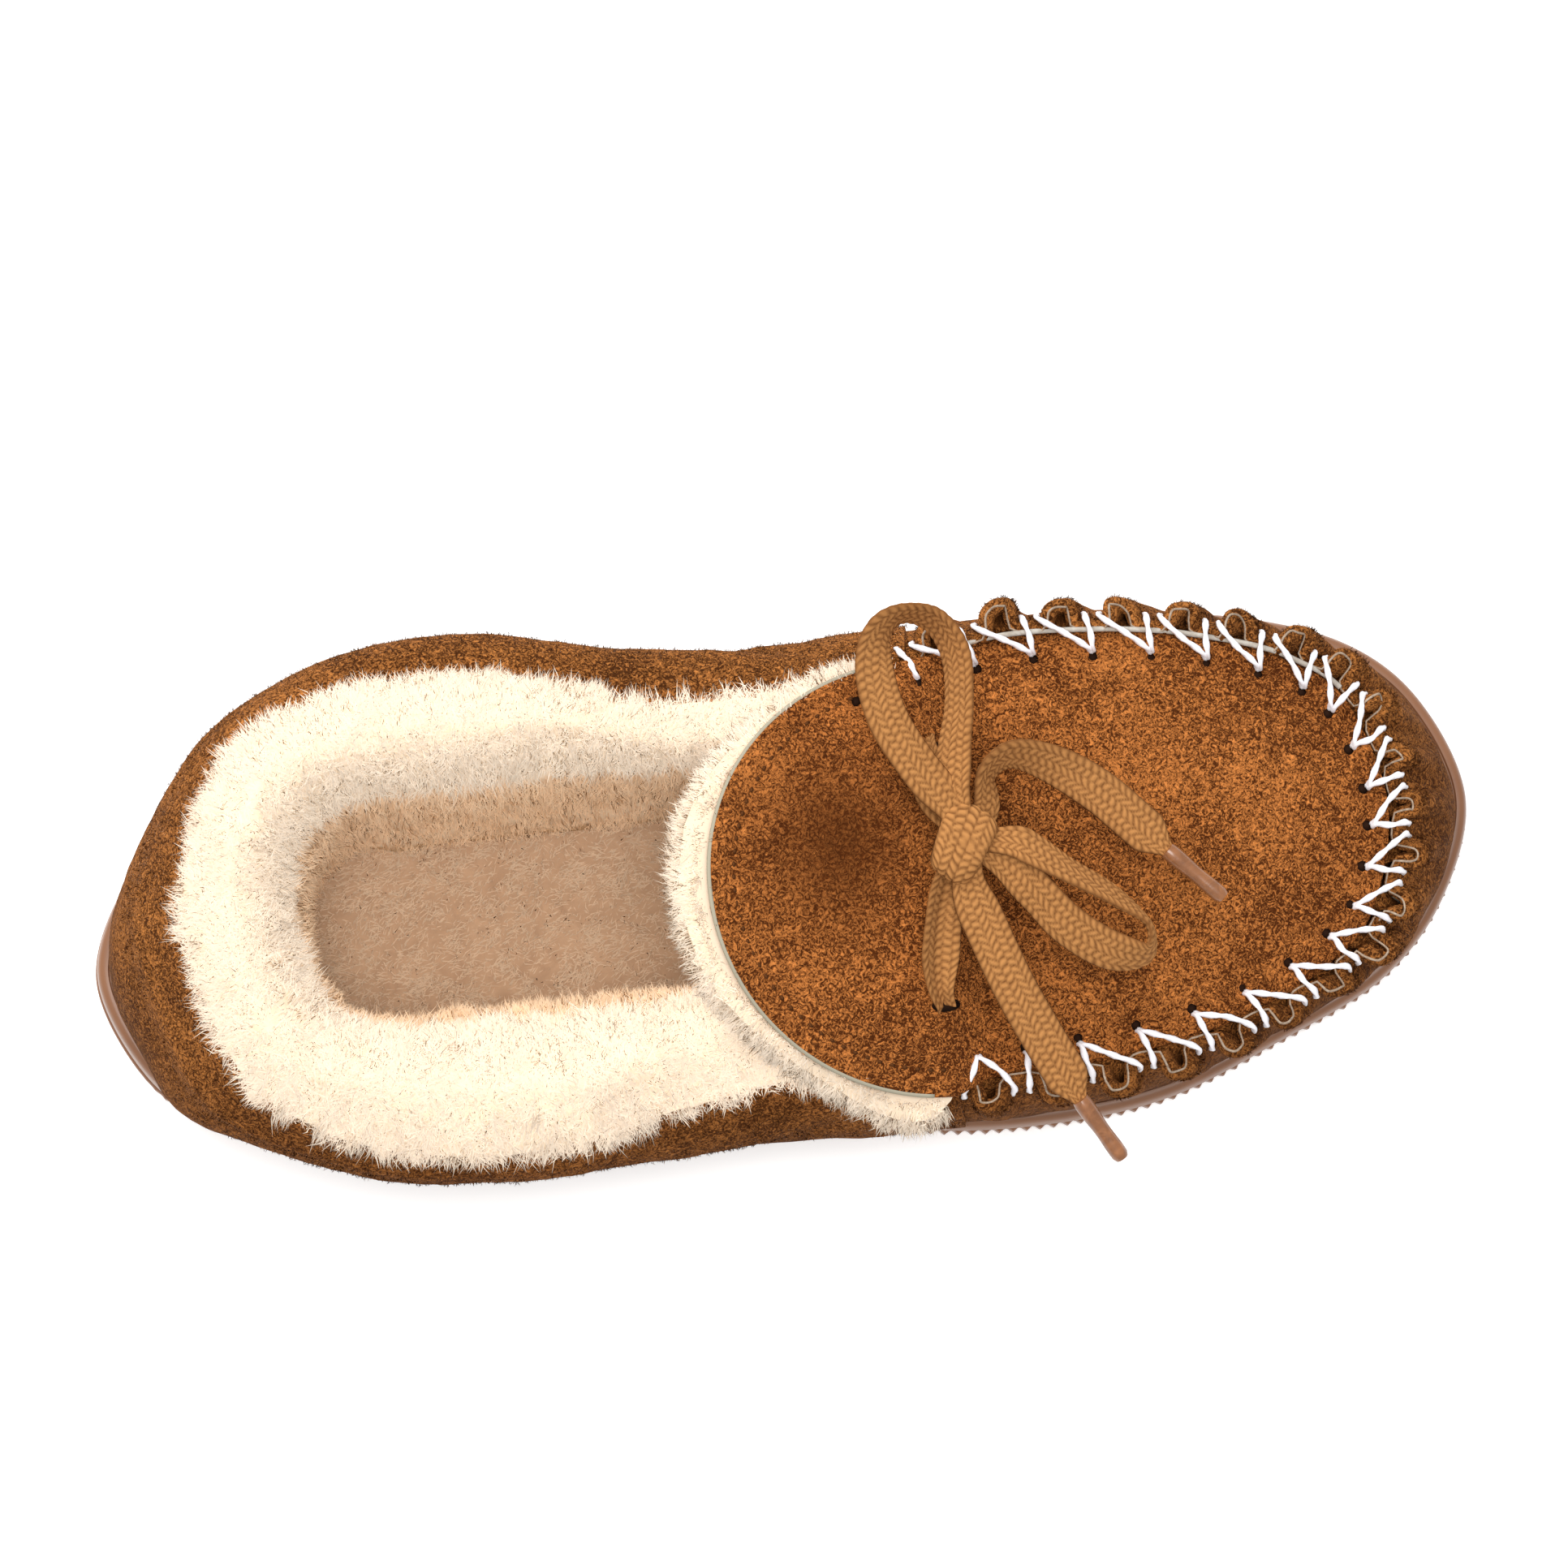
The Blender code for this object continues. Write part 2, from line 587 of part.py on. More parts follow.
def build_outsole(finish, collection, cutters):
    """Unit sole: toothed foot edge, a step, a rounded side, and lugs cut across its underside."""
    perimeter = np.linalg.norm(np.diff(sole_line(np.linspace(0, LOOP_ROWS, 1600)), axis=0), axis=1).sum()
    coarse = 2 * round(perimeter / TOOTH_PITCH / 4)
    fine = coarse * 4
    smooth = even_places(sole_line, coarse)[:-1]
    toothed = even_places(sole_line, fine)[:-1]
    share = sole_line(toothed)[:, 0] / SHOE_LENGTH + 0.5
    tooth = TOOTH_DEPTH * (np.arange(fine) % 2) * smooth_step(share, *SMOOTH_HEEL)
    points = []
    faces = []
    starts = []
    rings = (
        sole_ring(smooth, SOLE_RIM_LAND, 0.0),
        sole_ring(toothed, tooth + TOOTH_FOOT, 0.0),
        sole_ring(toothed, tooth, TOOTH_HEIGHT),
        sole_ring(smooth, SOLE_STEP, TOOTH_HEIGHT + TOOTH_FOOT / 2),
        top_ring(smooth, SOLE_STEP * 0.6, SOLE_EDGE_ROUND),
        top_ring(smooth, SOLE_STEP + SOLE_EDGE_ROUND / 2, 0.0),
        top_ring(smooth, SOLE_RIM_LAND, 0.0),
    )
    for ring in rings:
        starts.append(len(points))
        points.extend(ring)
    faces += fan_faces(starts[1], fine, starts[0], coarse)
    faces += ring_faces(starts[1], starts[2], fine)
    faces += fan_faces(starts[2], fine, starts[3], coarse)
    for level in (3, 4, 5):
        faces += ring_faces(starts[level], starts[level + 1], coarse)
    faces += cap_strips(points, starts[0], coarse, SOLE_CELLS_ACROSS, floor_line)
    faces += cap_strips(points, starts[6], coarse, SOLE_CELLS_ACROSS, sole_top)
    outsole = place_mesh("outsole", points, faces, finish, collection)
    cut = outsole.modifiers.new("lugs", "BOOLEAN")
    cut.operation = "DIFFERENCE"
    cut.object = lug_cutter(cutters)
    cut.solver = "EXACT"
    return outsole


def lug_cutter(cutters):
    """Cross grooves under the ball and the heel, joined in one cutter."""
    half_rows = np.linspace(0, LOOP_ROWS // 2, 200)
    outer = sole_line(half_rows)
    inner = sole_line(LOOP_ROWS - half_rows)
    body = bmesh.new()
    for start, end in (HEEL_LUGS, BALL_LUGS):
        run = (end - start) * SHOE_LENGTH
        count = round(run / LUG_PITCH)
        for i in range(count + 1):
            along = (start - 0.5) * SHOE_LENGTH + run * i / count
            low = np.interp(along, outer[:, 0], outer[:, 1]) + LUG_MARGIN
            high = np.interp(along, inner[:, 0], inner[:, 1]) - LUG_MARGIN
            box = bmesh.ops.create_cube(body, size=1.0)
            depth = LUG_GROOVE_DEPTH + LUG_PITCH
            bmesh.ops.scale(body, vec=(LUG_GROOVE_WIDTH, high - low, depth), verts=box["verts"])
            middle = (along, (low + high) / 2 + SIDE_SHIFT, LUG_GROOVE_DEPTH - depth / 2)
            bmesh.ops.translate(body, vec=middle, verts=box["verts"])
    mesh = bpy.data.meshes.new("lug_grooves")
    body.to_mesh(mesh)
    body.free()
    cutter = bpy.data.objects.new("lug_grooves", mesh)
    cutter.hide_render = True
    cutter.display_type = "WIRE"
    cutters.objects.link(cutter)
    return cutter


def build_upper(finish, collection):
    """Hollow wall of vamp and quarters, open at the top and underneath."""
    outer_side, vamp, inner_side = upper_columns()
    places = np.concatenate([outer_side, vamp, inner_side[:-1]])
    count = len(places)
    valleys = pucker_places()
    pitch = np.linalg.norm(np.diff(rim_line(valleys), axis=0), axis=1).mean()
    hollow = PUCKER_SIDE_WALL / pitch
    points = []
    faces = []
    levels = len(UPPER_LEVELS)
    for level in UPPER_LEVELS:
        points.extend(upper_face(places, level, 0.0, 0.0))
    for level in reversed(UPPER_LEVELS):
        points.extend(upper_face(places, level, UPPER_WALL, hollow))
    for ring in range(2 * levels):
        faces += ring_faces(ring * count, (ring + 1) % (2 * levels) * count, count)
    return place_mesh("upper", points, faces, finish, collection)


def build_sheet(name, outer, inner, top, bottom, cells, finish, collection):
    """Closed sheet between two edges given in pairs, with upper and lower heights by function."""
    shares = np.linspace(0.0, 1.0, cells + 1)
    across = shares[None, :, None]
    plan = outer[:, None, :] * (1.0 - across) + inner[:, None, :] * across
    flat = plan.reshape(-1, 2)
    upper = np.column_stack([flat, top(flat, np.tile(shares, len(outer)))])
    lower = np.column_stack([flat, bottom(flat, np.tile(shares, len(outer)))])
    points = np.vstack([upper, lower])
    width = cells + 1
    below = len(upper)
    faces = []
    for i in range(len(outer) - 1):
        for k in range(cells):
            a = i * width + k
            faces.append((a, a + 1, a + 1 + width, a + width))
            faces.append((below + a, below + a + width, below + a + 1 + width, below + a + 1))
        for a in (i * width, i * width + cells):
            faces.append((a, a + width, below + a + width, below + a))
    made_points, made_faces = merge_points(points, faces)
    return place_mesh(name, made_points, made_faces, finish, collection)


def merge_points(points, faces):
    """Merge points that coincide, and drop faces that shrink to a line."""
    keys = {}
    index = []
    kept = []
    for point in points:
        key = tuple(np.round(point, 6))
        if key not in keys:
            keys[key] = len(kept)
            kept.append(point)
        index.append(keys[key])
    cleaned = []
    for face in faces:
        corners = list(dict.fromkeys(index[corner] for corner in face))
        if len(corners) > 2:
            cleaned.append(corners)
    return kept, cleaned


def build_insole(finish, collection):
    """Sheepskin sock that fills the foot of the upper."""
    half = even_places(sole_line, INSOLE_COLUMNS, 0.0, LOOP_ROWS / 2)
    inset = FEATHER_INSET + UPPER_WALL + INSOLE_INSET
    outer = sole_line(half) - outward(sole_line, half) * inset
    mirrored = LOOP_ROWS - half
    inner = sole_line(mirrored) - outward(sole_line, mirrored) * inset

    def top(flat, share):
        return insole_top(flat[:, 0])

    def bottom(flat, share):
        return sole_top(flat[:, 0]) + GAP

    return build_sheet("insole", outer[:, :2], inner[:, :2], top, bottom, 2, finish, collection)


def build_plug(finish, collection):
    """Apron and tongue, one sheet of suede over the instep and toes."""
    outer, inner = plug_edges()

    def top(flat, share):
        return plug_height(flat)

    def bottom(flat, share):
        return plug_height(flat) - PLUG_WALL

    return build_sheet("plug", outer, inner, top, bottom, PLUG_CELLS_ACROSS, finish, collection)


def build_tongue_fleece(finish, collection):
    """Wool under the tongue, which stands out round its edge."""
    rows = np.array(TONGUE_FLEECE_ROWS)
    places = np.linspace(0, len(rows) - 1, 22)
    table = spline(rows, places, False)
    along = throat_x() + table[:, 0] * TONGUE_REACH
    outer = np.column_stack([along, TONGUE_SIDEWAYS - table[:, 1] * TONGUE_HALF_WIDTH])
    inner = np.column_stack([along, TONGUE_SIDEWAYS + table[:, 2] * TONGUE_HALF_WIDTH])

    def top(flat, share):
        under_plug = plug_height(flat) - PLUG_WALL - TONGUE_FLEECE_GAP
        over_rim = np.maximum(under_plug, rest(flat) + GAP)
        return np.where(flat[:, 0] < throat_x(), over_rim, under_plug)

    def rest(flat):
        rows = upper_face(np.linspace(0.0, THROAT_ROW, 30)[:-1], 1.0, 0.0, 0.0)
        rim = np.interp(flat[:, 0], rows[:, 0], rows[:, 2])
        over_collar = smooth_step(-flat[:, 0], -COLLAR_END_REACH, -0.5 * COLLAR_END_REACH)
        return rim + TONGUE_FLEECE_GAP + (COLLAR_RIM_CLEARANCE + COLLAR_MIN_CREST) * over_collar

    def bottom(flat, share):
        full = 1.0 - (2.0 * share - 1.0) ** 6
        back = smooth_step(-flat[:, 0], -throat_x(), 0.5 * TONGUE_REACH - throat_x())
        thin = TONGUE_FLEECE_EDGE + (TONGUE_FLEECE_THICKNESS - TONGUE_FLEECE_EDGE) * full * back
        wanted = plug_height(flat) - PLUG_WALL - TONGUE_FLEECE_GAP - thin
        beside = (np.abs(flat[:, 1]) > TONGUE_FLEECE_REST * CAVITY_HALF_WIDTH) & (flat[:, 0] < throat_x())
        return np.where(beside, np.maximum(wanted, rest(flat)), wanted)

    return build_sheet("tongue_fleece", outer, inner, top, bottom, 8, finish, collection)


def collar_section(places):
    """Rings of the collar's wool, from its foot outside, over the crest, to its foot inside."""
    wall = UPPER_WALL + GAP
    rings = []
    foot = upper_face(places, COLLAR_FOOT_LEVEL, wall, 0.0)
    foot[:, 2] = insole_top(foot[:, 0]) + GAP
    rings.append(foot)
    for level in UPPER_LEVELS[2:]:
        rings.append(upper_face(places, level, wall, 0.0))
    rim = rim_line(places)
    out = outward(rim_line, places)
    back = smooth_step(-rim[:, 0], COLLAR_FADE_START - throat_x(), COLLAR_FADE_END - throat_x())
    crest = COLLAR_MIN_CREST + COLLAR_CREST * back
    cavity = cavity_line(places, CAVITY_HALF_WIDTH, CAVITY_HEEL_DEPTH)
    climb = bare_wall(places, 1.0) - bare_wall(places, COLLAR_TOP_LEVEL)
    climb *= COLLAR_RIM_CLEARANCE / np.linalg.norm(climb, axis=1, keepdims=True)
    top_edge = upper_face(places, 1.0, 0.0, 0.0)
    rings.append(rings[-1] + climb)
    rings.append(top_edge + climb)
    base = top_edge[:, 2] + COLLAR_RIM_CLEARANCE
    lip = top_edge + out * COLLAR_OVERHANG * back[:, None]
    lip[:, 2] = base + COLLAR_LIP_SHARE * crest
    rings.append(lip)
    for share, height in COLLAR_ARCH:
        between = rim * (1.0 - share) + cavity * share
        between[:, 2] = base + height * crest
        rings.append(between)
    edge = cavity.copy()
    edge[:, 2] = rim[:, 2] - CAVITY_EDGE_DROP
    rings.append(edge)
    belly = cavity_line(places, CAVITY_HALF_WIDTH + CAVITY_BELLY_GAIN, CAVITY_HEEL_DEPTH)
    belly[:, 2] = CAVITY_BELLY_SHARE * rim[:, 2]
    rings.append(belly)
    inner_foot = cavity_line(places, CAVITY_FOOT_HALF_WIDTH, CAVITY_HEEL_DEPTH)
    inner_foot[:, 2] = insole_top(inner_foot[:, 0]) + GAP
    rings.append(inner_foot)
    return rings


def build_collar_fleece(finish, collection, cutters):
    """Deep wool lining of heel and sides, rolled over the collar, with locks fused on."""
    outer_side, _, inner_side = upper_columns()
    end = 3
    places = np.concatenate([inner_side[end:-1], LOOP_ROWS + outer_side[:-end]])
    wrapped = np.mod(places, LOOP_ROWS)
    rings = collar_section(wrapped)
    count = len(wrapped)
    points = [point for ring in rings for point in ring]
    faces = []
    for ring in range(len(rings)):
        faces += ring_faces(ring * count, (ring + 1) % len(rings) * count, count, closed=False)
    faces.append([ring * count for ring in range(len(rings))])
    faces.append([ring * count + count - 1 for ring in reversed(range(len(rings)))])
    fleece = place_mesh("collar_fleece", points, faces, finish, collection)
    fuse = fleece.modifiers.new("locks", "BOOLEAN")
    fuse.operation = "UNION"
    fuse.object = wool_locks(rings, cutters)
    fuse.solver = "EXACT"
    return fleece


def wool_locks(rings, cutters):
    """Pointed locks of wool over the collar's outer edge and over the edge of the hollow."""
    lip, _, crest, inner_crest, edge = rings[-7:-2]
    body = bmesh.new()
    for base_ring, tip_ring, every, offset in ((crest, lip, 1, 0), (inner_crest, edge, 2, 1)):
        for i in range(LOCK_END_MARGIN + offset, len(lip) - LOCK_END_MARGIN, every):
            heading = tip_ring[i] - base_ring[i]
            heading[2] = 0.0
            heading /= np.linalg.norm(heading)
            sway = LOCK_SWAY * math.sin(2.4 * i)
            heading = np.array([heading[0] - sway * heading[1], heading[1] + sway * heading[0], LOCK_RISE])
            seat = LOCK_SEAT * tip_ring[i] + (1.0 - LOCK_SEAT) * base_ring[i]
            start = seat + np.array([0.0, SIDE_SHIFT, LOCK_WIDTH / 2])
            turn = Vector(heading).to_track_quat("Z", "Y").to_matrix().to_4x4()
            place = Matrix.Translation(Vector(start)) @ turn
            bmesh.ops.create_cone(body, cap_ends=True, segments=LOCK_SIDES, radius1=LOCK_WIDTH / 2,
                                  radius2=0.0, depth=LOCK_LENGTH, matrix=place)
    mesh = bpy.data.meshes.new("locks")
    body.to_mesh(mesh)
    body.free()
    locks = bpy.data.objects.new("locks", mesh)
    locks.hide_render = True
    locks.display_type = "WIRE"
    cutters.objects.link(locks)
    return locks


def ribbon_frame(route):
    """Centres and width directions along a route, at even steps."""
    rows = np.array(route, dtype=float)
    fine = spline(rows, np.linspace(0, len(rows) - 1, 400), False)
    length = np.concatenate([[0.0], np.cumsum(np.linalg.norm(np.diff(fine[:, :3], axis=0), axis=1))])
    count = max(4, round(length[-1] / RIBBON_STEP))
    spots = np.linspace(0.0, length[-1], count + 1)
    table = np.column_stack([np.interp(spots, length, fine[:, k]) for k in range(4)])
    centres = table[:, :3]
    along = np.gradient(centres, axis=0)
    along /= np.linalg.norm(along, axis=1, keepdims=True)
    level = np.cross(np.array([0.0, 0.0, 1.0]), along)
    level /= np.linalg.norm(level, axis=1, keepdims=True)
    up = np.cross(along, level)
    roll = np.radians(table[:, 3])[:, None]
    return centres, level * np.cos(roll) + up * np.sin(roll)


def build_ribbon(name, route, width, finish, collection):
    """A flat woven lace along a route: a strip given its thickness."""
    centres, across = ribbon_frame(route)
    points = np.vstack([centres - across * width / 2, centres + across * width / 2])
    count = len(centres)
    faces = [(i, i + 1, count + i + 1, count + i) for i in range(count - 1)]
    shifted = points + np.array([0.0, SIDE_SHIFT, 0.0])
    mesh = bpy.data.meshes.new(name)
    mesh.from_pydata(shifted.tolist(), [], faces)
    mesh.shade_smooth()
    made = bpy.data.objects.new(name, mesh)
    made.data.materials.append(finish)
    collection.objects.link(made)
    thick = made.modifiers.new("thickness", "SOLIDIFY")
    thick.thickness = LACE_THICKNESS
    thick.offset = 0.0
    return made


def build_knot(finish, collection):
    """The bow's knot, a wrapped pillow of lace."""
    body = bmesh.new()
    bmesh.ops.create_cube(body, size=1.0)
    bmesh.ops.scale(body, vec=(KNOT_LENGTH, KNOT_WIDTH, KNOT_THICKNESS), verts=body.verts)
    mesh = bpy.data.meshes.new("lace_knot")
    body.to_mesh(mesh)
    body.free()
    knot = bpy.data.objects.new("lace_knot", mesh)
    knot.data.materials.append(finish)
    knot.location = (KNOT_PLACE[0], KNOT_PLACE[1] + SIDE_SHIFT, KNOT_PLACE[2])
    knot.rotation_euler = (0.0, 0.0, KNOT_TURN)
    collection.objects.link(knot)
    soft = knot.modifiers.new("soft_edges", "BEVEL")
    soft.width = KNOT_SOFTNESS * KNOT_THICKNESS
    soft.segments = 2
    return knot


def build_aglet(name, route, finish, collection):
    """Plastic tip on a lace end, in line with the end of its route."""
    centres, _ = ribbon_frame(route)
    ahead = centres[-1] - centres[-2]
    ahead /= np.linalg.norm(ahead)
    start = centres[-1] + ahead * GAP
    tip = start + ahead * AGLET_LENGTH
    curve = bpy.data.curves.new(name, "CURVE")
    curve.dimensions = "3D"
    line = curve.splines.new("POLY")
    line.points.add(1)
    for point, place in zip(line.points, (start, tip)):
        point.co = (place[0], place[1] + SIDE_SHIFT, place[2], 1.0)
    curve.bevel_depth = AGLET_RADIUS
    curve.bevel_resolution = 2
    curve.use_fill_caps = True
    made = bpy.data.objects.new(name, curve)
    made.data.materials.append(finish)
    collection.objects.link(made)
    return made


def main():
    """Clear the scene and build every piece."""
    for old in list(bpy.data.objects):
        bpy.data.objects.remove(old, do_unlink=True)
    slipper = bpy.data.collections.new("moccasin_slipper")
    cutters = bpy.data.collections.new("cutters")
    bpy.context.scene.collection.children.link(slipper)
    bpy.context.scene.collection.children.link(cutters)
    rubber = material("brown_rubber", (0.20, 0.09, 0.045), 0.45)
    suede = material("golden_suede", (0.42, 0.17, 0.045), 0.95)
    plug_suede = material("plug_suede", (0.40, 0.16, 0.04), 0.95)
    wool = material("collar_wool", (0.86, 0.78, 0.64), 1.0)
    tongue_wool = material("tongue_wool", (0.86, 0.78, 0.64), 1.0)
    sock = material("sock_wool", (0.62, 0.50, 0.38), 1.0)
    weave = material("lace_weave", (0.52, 0.28, 0.09), 0.8)
    tip = material("aglet_plastic", (0.30, 0.13, 0.05), 0.35)
    build_outsole(rubber, slipper, cutters)
    build_insole(sock, slipper)
    build_upper(suede, slipper)
    build_plug(plug_suede, slipper)
    build_collar_fleece(wool, slipper, cutters)
    build_tongue_fleece(tongue_wool, slipper)
    build_ribbon("lace_crossing", CROSSING_ROUTE, CROSSING_SHARE * LACE_WIDTH, weave, slipper)
    build_ribbon("lace_loop_1", LOOP_1_ROUTE, LACE_WIDTH, weave, slipper)
    build_ribbon("lace_loop_2", LOOP_2_ROUTE, LACE_WIDTH, weave, slipper)
    build_ribbon("lace_end_1", END_1_ROUTE, LACE_WIDTH, weave, slipper)
    build_ribbon("lace_end_2", END_2_ROUTE, LACE_WIDTH, weave, slipper)
    build_knot(weave, slipper)
    build_aglet("aglet_1", END_1_ROUTE, tip, slipper)
    build_aglet("aglet_2", END_2_ROUTE, tip, slipper)


main()
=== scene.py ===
import logging
import math
from collections.abc import Callable
from dataclasses import dataclass
from enum import Enum

import bpy
import numpy as np
from mathutils import Matrix, Vector


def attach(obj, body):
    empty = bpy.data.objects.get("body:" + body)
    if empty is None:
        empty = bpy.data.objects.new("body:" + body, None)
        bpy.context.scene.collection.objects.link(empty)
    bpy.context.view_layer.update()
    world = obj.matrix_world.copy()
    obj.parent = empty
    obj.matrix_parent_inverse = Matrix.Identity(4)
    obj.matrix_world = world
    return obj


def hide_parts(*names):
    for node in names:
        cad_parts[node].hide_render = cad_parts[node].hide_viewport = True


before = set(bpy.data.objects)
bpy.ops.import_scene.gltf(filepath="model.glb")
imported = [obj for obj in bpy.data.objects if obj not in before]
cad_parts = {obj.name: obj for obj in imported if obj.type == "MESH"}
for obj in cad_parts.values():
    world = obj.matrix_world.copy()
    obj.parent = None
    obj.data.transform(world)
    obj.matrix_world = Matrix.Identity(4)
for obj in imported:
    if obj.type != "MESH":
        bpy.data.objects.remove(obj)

LOG = logging.getLogger("slipper")
MM = 0.001
ROOT = "root"
Line = Callable[[np.ndarray], np.ndarray]

# The last's cross-sections from heel to toe, as in the part. Columns: length, ball, sole_out,
# sole_in, belly_out, belly_in, belly_height, rim_out, rim_in, rim_rise.
SECTIONS = np.array((
    (0.000, 0.00, 0.03, -0.03, 0.00, 0.00, 0.65, -0.06, 0.06, 1.08),
    (0.030, 0.00, 0.67, 0.56, 0.86, 0.68, 0.66, 0.76, 0.79, 1.07),
    (0.080, 0.00, 0.96, 0.90, 1.17, 1.15, 0.69, 1.15, 1.17, 1.03),
    (0.170, 0.00, 1.03, 1.00, 1.44, 1.46, 0.72, 1.40, 1.32, 0.96),
    (0.270, 0.00, 1.01, 0.97, 1.51, 1.52, 0.73, 1.45, 1.28, 0.92),
    (0.380, 0.25, 0.94, 0.82, 1.34, 1.22, 0.73, 1.17, 0.91, 0.91),
    (0.490, 0.60, 0.97, 0.77, 1.15, 1.00, 0.72, 0.94, 0.77, 0.88),
    (0.585, 1.00, 0.98, 0.80, 1.00, 0.88, 0.69, 0.90, 0.75, 0.80),
    (0.675, 1.00, 1.01, 0.94, 0.99, 0.92, 0.65, 0.91, 0.83, 0.70),
    (0.760, 1.00, 0.96, 0.99, 0.93, 0.92, 0.64, 0.87, 0.83, 0.53),
    (0.845, 1.00, 0.79, 0.94, 0.78, 0.84, 0.65, 0.78, 0.78, 0.32),
    (0.925, 1.00, 0.59, 0.78, 0.58, 0.67, 0.67, 0.61, 0.66, 0.13),
    (0.975, 1.00, 0.30, 0.51, 0.34, 0.44, 0.69, 0.39, 0.46, 0.04),
    (1.000, 1.00, -0.09, 0.09, -0.05, 0.05, 0.69, -0.03, 0.03, 0.00),
))
LOOP = 2.0 * (len(SECTIONS) - 1)

# The wool under the tongue. Columns: place from the throat as a share of the tongue's reach, then
# its outer and inner edge as shares of the tongue's half-width.
TONGUE_WOOL_ROWS = np.array((
    (-1.15, 0.00, 0.00), (-1.07, 0.37, 0.37), (-0.85, 0.67, 0.66), (-0.58, 0.90, 0.86),
    (-0.35, 1.06, 0.97), (-0.18, 1.11, 1.00), (-0.04, 1.03, 0.97), (0.08, 0.80, 0.80),
    (0.20, 0.55, 0.55), (0.30, 0.00, 0.00),
))

# Routes of the lace in metres: along, across, above the floor, and the ribbon's roll in degrees.
CROSSING_OUT = (
    (0.0222, -0.0285, 0.0668, 0), (0.0214, -0.0255, 0.0690, 10), (0.0216, -0.0200, 0.0706, 25),
    (0.0232, -0.0120, 0.0718, 30), (0.0262, -0.0040, 0.0728, 15), (0.0280, 0.0000, 0.0738, 0),
)
CROSSING_IN = (
    (0.0285, 0.0000, 0.0738, 0), (0.0255, 0.0060, 0.0722, -10), (0.0243, 0.0120, 0.0708, -25),
    (0.0238, 0.0165, 0.0690, -10), (0.0240, 0.0192, 0.0668, 0),
)
LOOP_1_ROUTE = (
    (0.0286, 0.0010, 0.0752, 0), (0.0262, 0.0060, 0.0764, 10), (0.0215, 0.0130, 0.0780, 15),
    (0.0172, 0.0215, 0.0794, 15), (0.0158, 0.0305, 0.0797, 25), (0.0175, 0.0370, 0.0790, 50),
    (0.0222, 0.0400, 0.0777, 75), (0.0275, 0.0385, 0.0764, 65), (0.0306, 0.0325, 0.0756, 55),
    (0.0303, 0.0240, 0.0752, 55), (0.0285, 0.0160, 0.0754, 45), (0.0273, 0.0090, 0.0760, 30),
    (0.0284, 0.0020, 0.0754, 10),
)
LOOP_2_ROUTE = (
    (0.0305, -0.0020, 0.0742, 10), (0.0362, -0.0062, 0.0740, 20), (0.0400, -0.0112, 0.0742, 35),
    (0.0450, -0.0175, 0.0737, 30), (0.0520, -0.0225, 0.0726, 35), (0.0582, -0.0235, 0.0719, 70),
    (0.0590, -0.0185, 0.0722, 80), (0.0535, -0.0130, 0.0734, 60), (0.0455, -0.0075, 0.0747, 50),
    (0.0400, -0.0035, 0.0752, 35), (0.0372, -0.0018, 0.0752, 20), (0.0310, -0.0008, 0.0750, 10),
)
END_1_ROUTE = (
    (0.0300, 0.0005, 0.0735, 20), (0.0330, 0.0050, 0.0728, 40), (0.0338, 0.0110, 0.0728, 65),
    (0.0385, 0.0140, 0.0722, 60), (0.0450, 0.0120, 0.0710, 40), (0.0530, 0.0065, 0.0694, 15),
    (0.0600, -0.0005, 0.0677, 5), (0.0648, -0.0055, 0.0664, 0), (0.0735, -0.0142, 0.0640, 0),
)
END_2_ROUTE = (
    (0.0288, -0.0030, 0.0745, 5), (0.0283, -0.0088, 0.0742, 5), (0.0305, -0.0160, 0.0730, 0),
    (0.0340, -0.0260, 0.0712, 0), (0.0380, -0.0350, 0.0690, 0), (0.0420, -0.0430, 0.0667, 0),
    (0.0442, -0.0475, 0.0650, 0), (0.0504, -0.0578, 0.0612, 0),
)
KNOT_PLACE = np.array((0.0278, -0.0008, 0.0745))
SLOTS = ((0.0243, 0.0183), (0.0224, -0.0280))


class Fold(Enum):
    """Which way a crease moves the leather."""

    RIDGE = 1.0
    TROUGH = -1.0


class Edge(Enum):
    """Which ends of a wall's profile are rounded."""

    TOP = "top"
    BOTH = "both"


def smooth_step(value: np.ndarray, start: float, end: float) -> np.ndarray:
    """Soft change from 0 to 1.

    Args:
        value: Numbers to judge.
        start: Where the change begins.
        end: Where it is complete.

    Returns:
        0 before start, 1 after end, 3t^2 - 2t^3 between them.
    """
    share = np.clip((np.asarray(value) - start) / (end - start), 0.0, 1.0)
    return share * share * (3.0 - 2.0 * share)


def unit(vectors: np.ndarray) -> np.ndarray:
    """Scales vectors to length one.

    Args:
        vectors: Any array whose last axis is x, y, z.

    Returns:
        The same directions at length one.
    """
    return vectors / np.maximum(np.linalg.norm(vectors, axis=-1, keepdims=True), 1e-12)


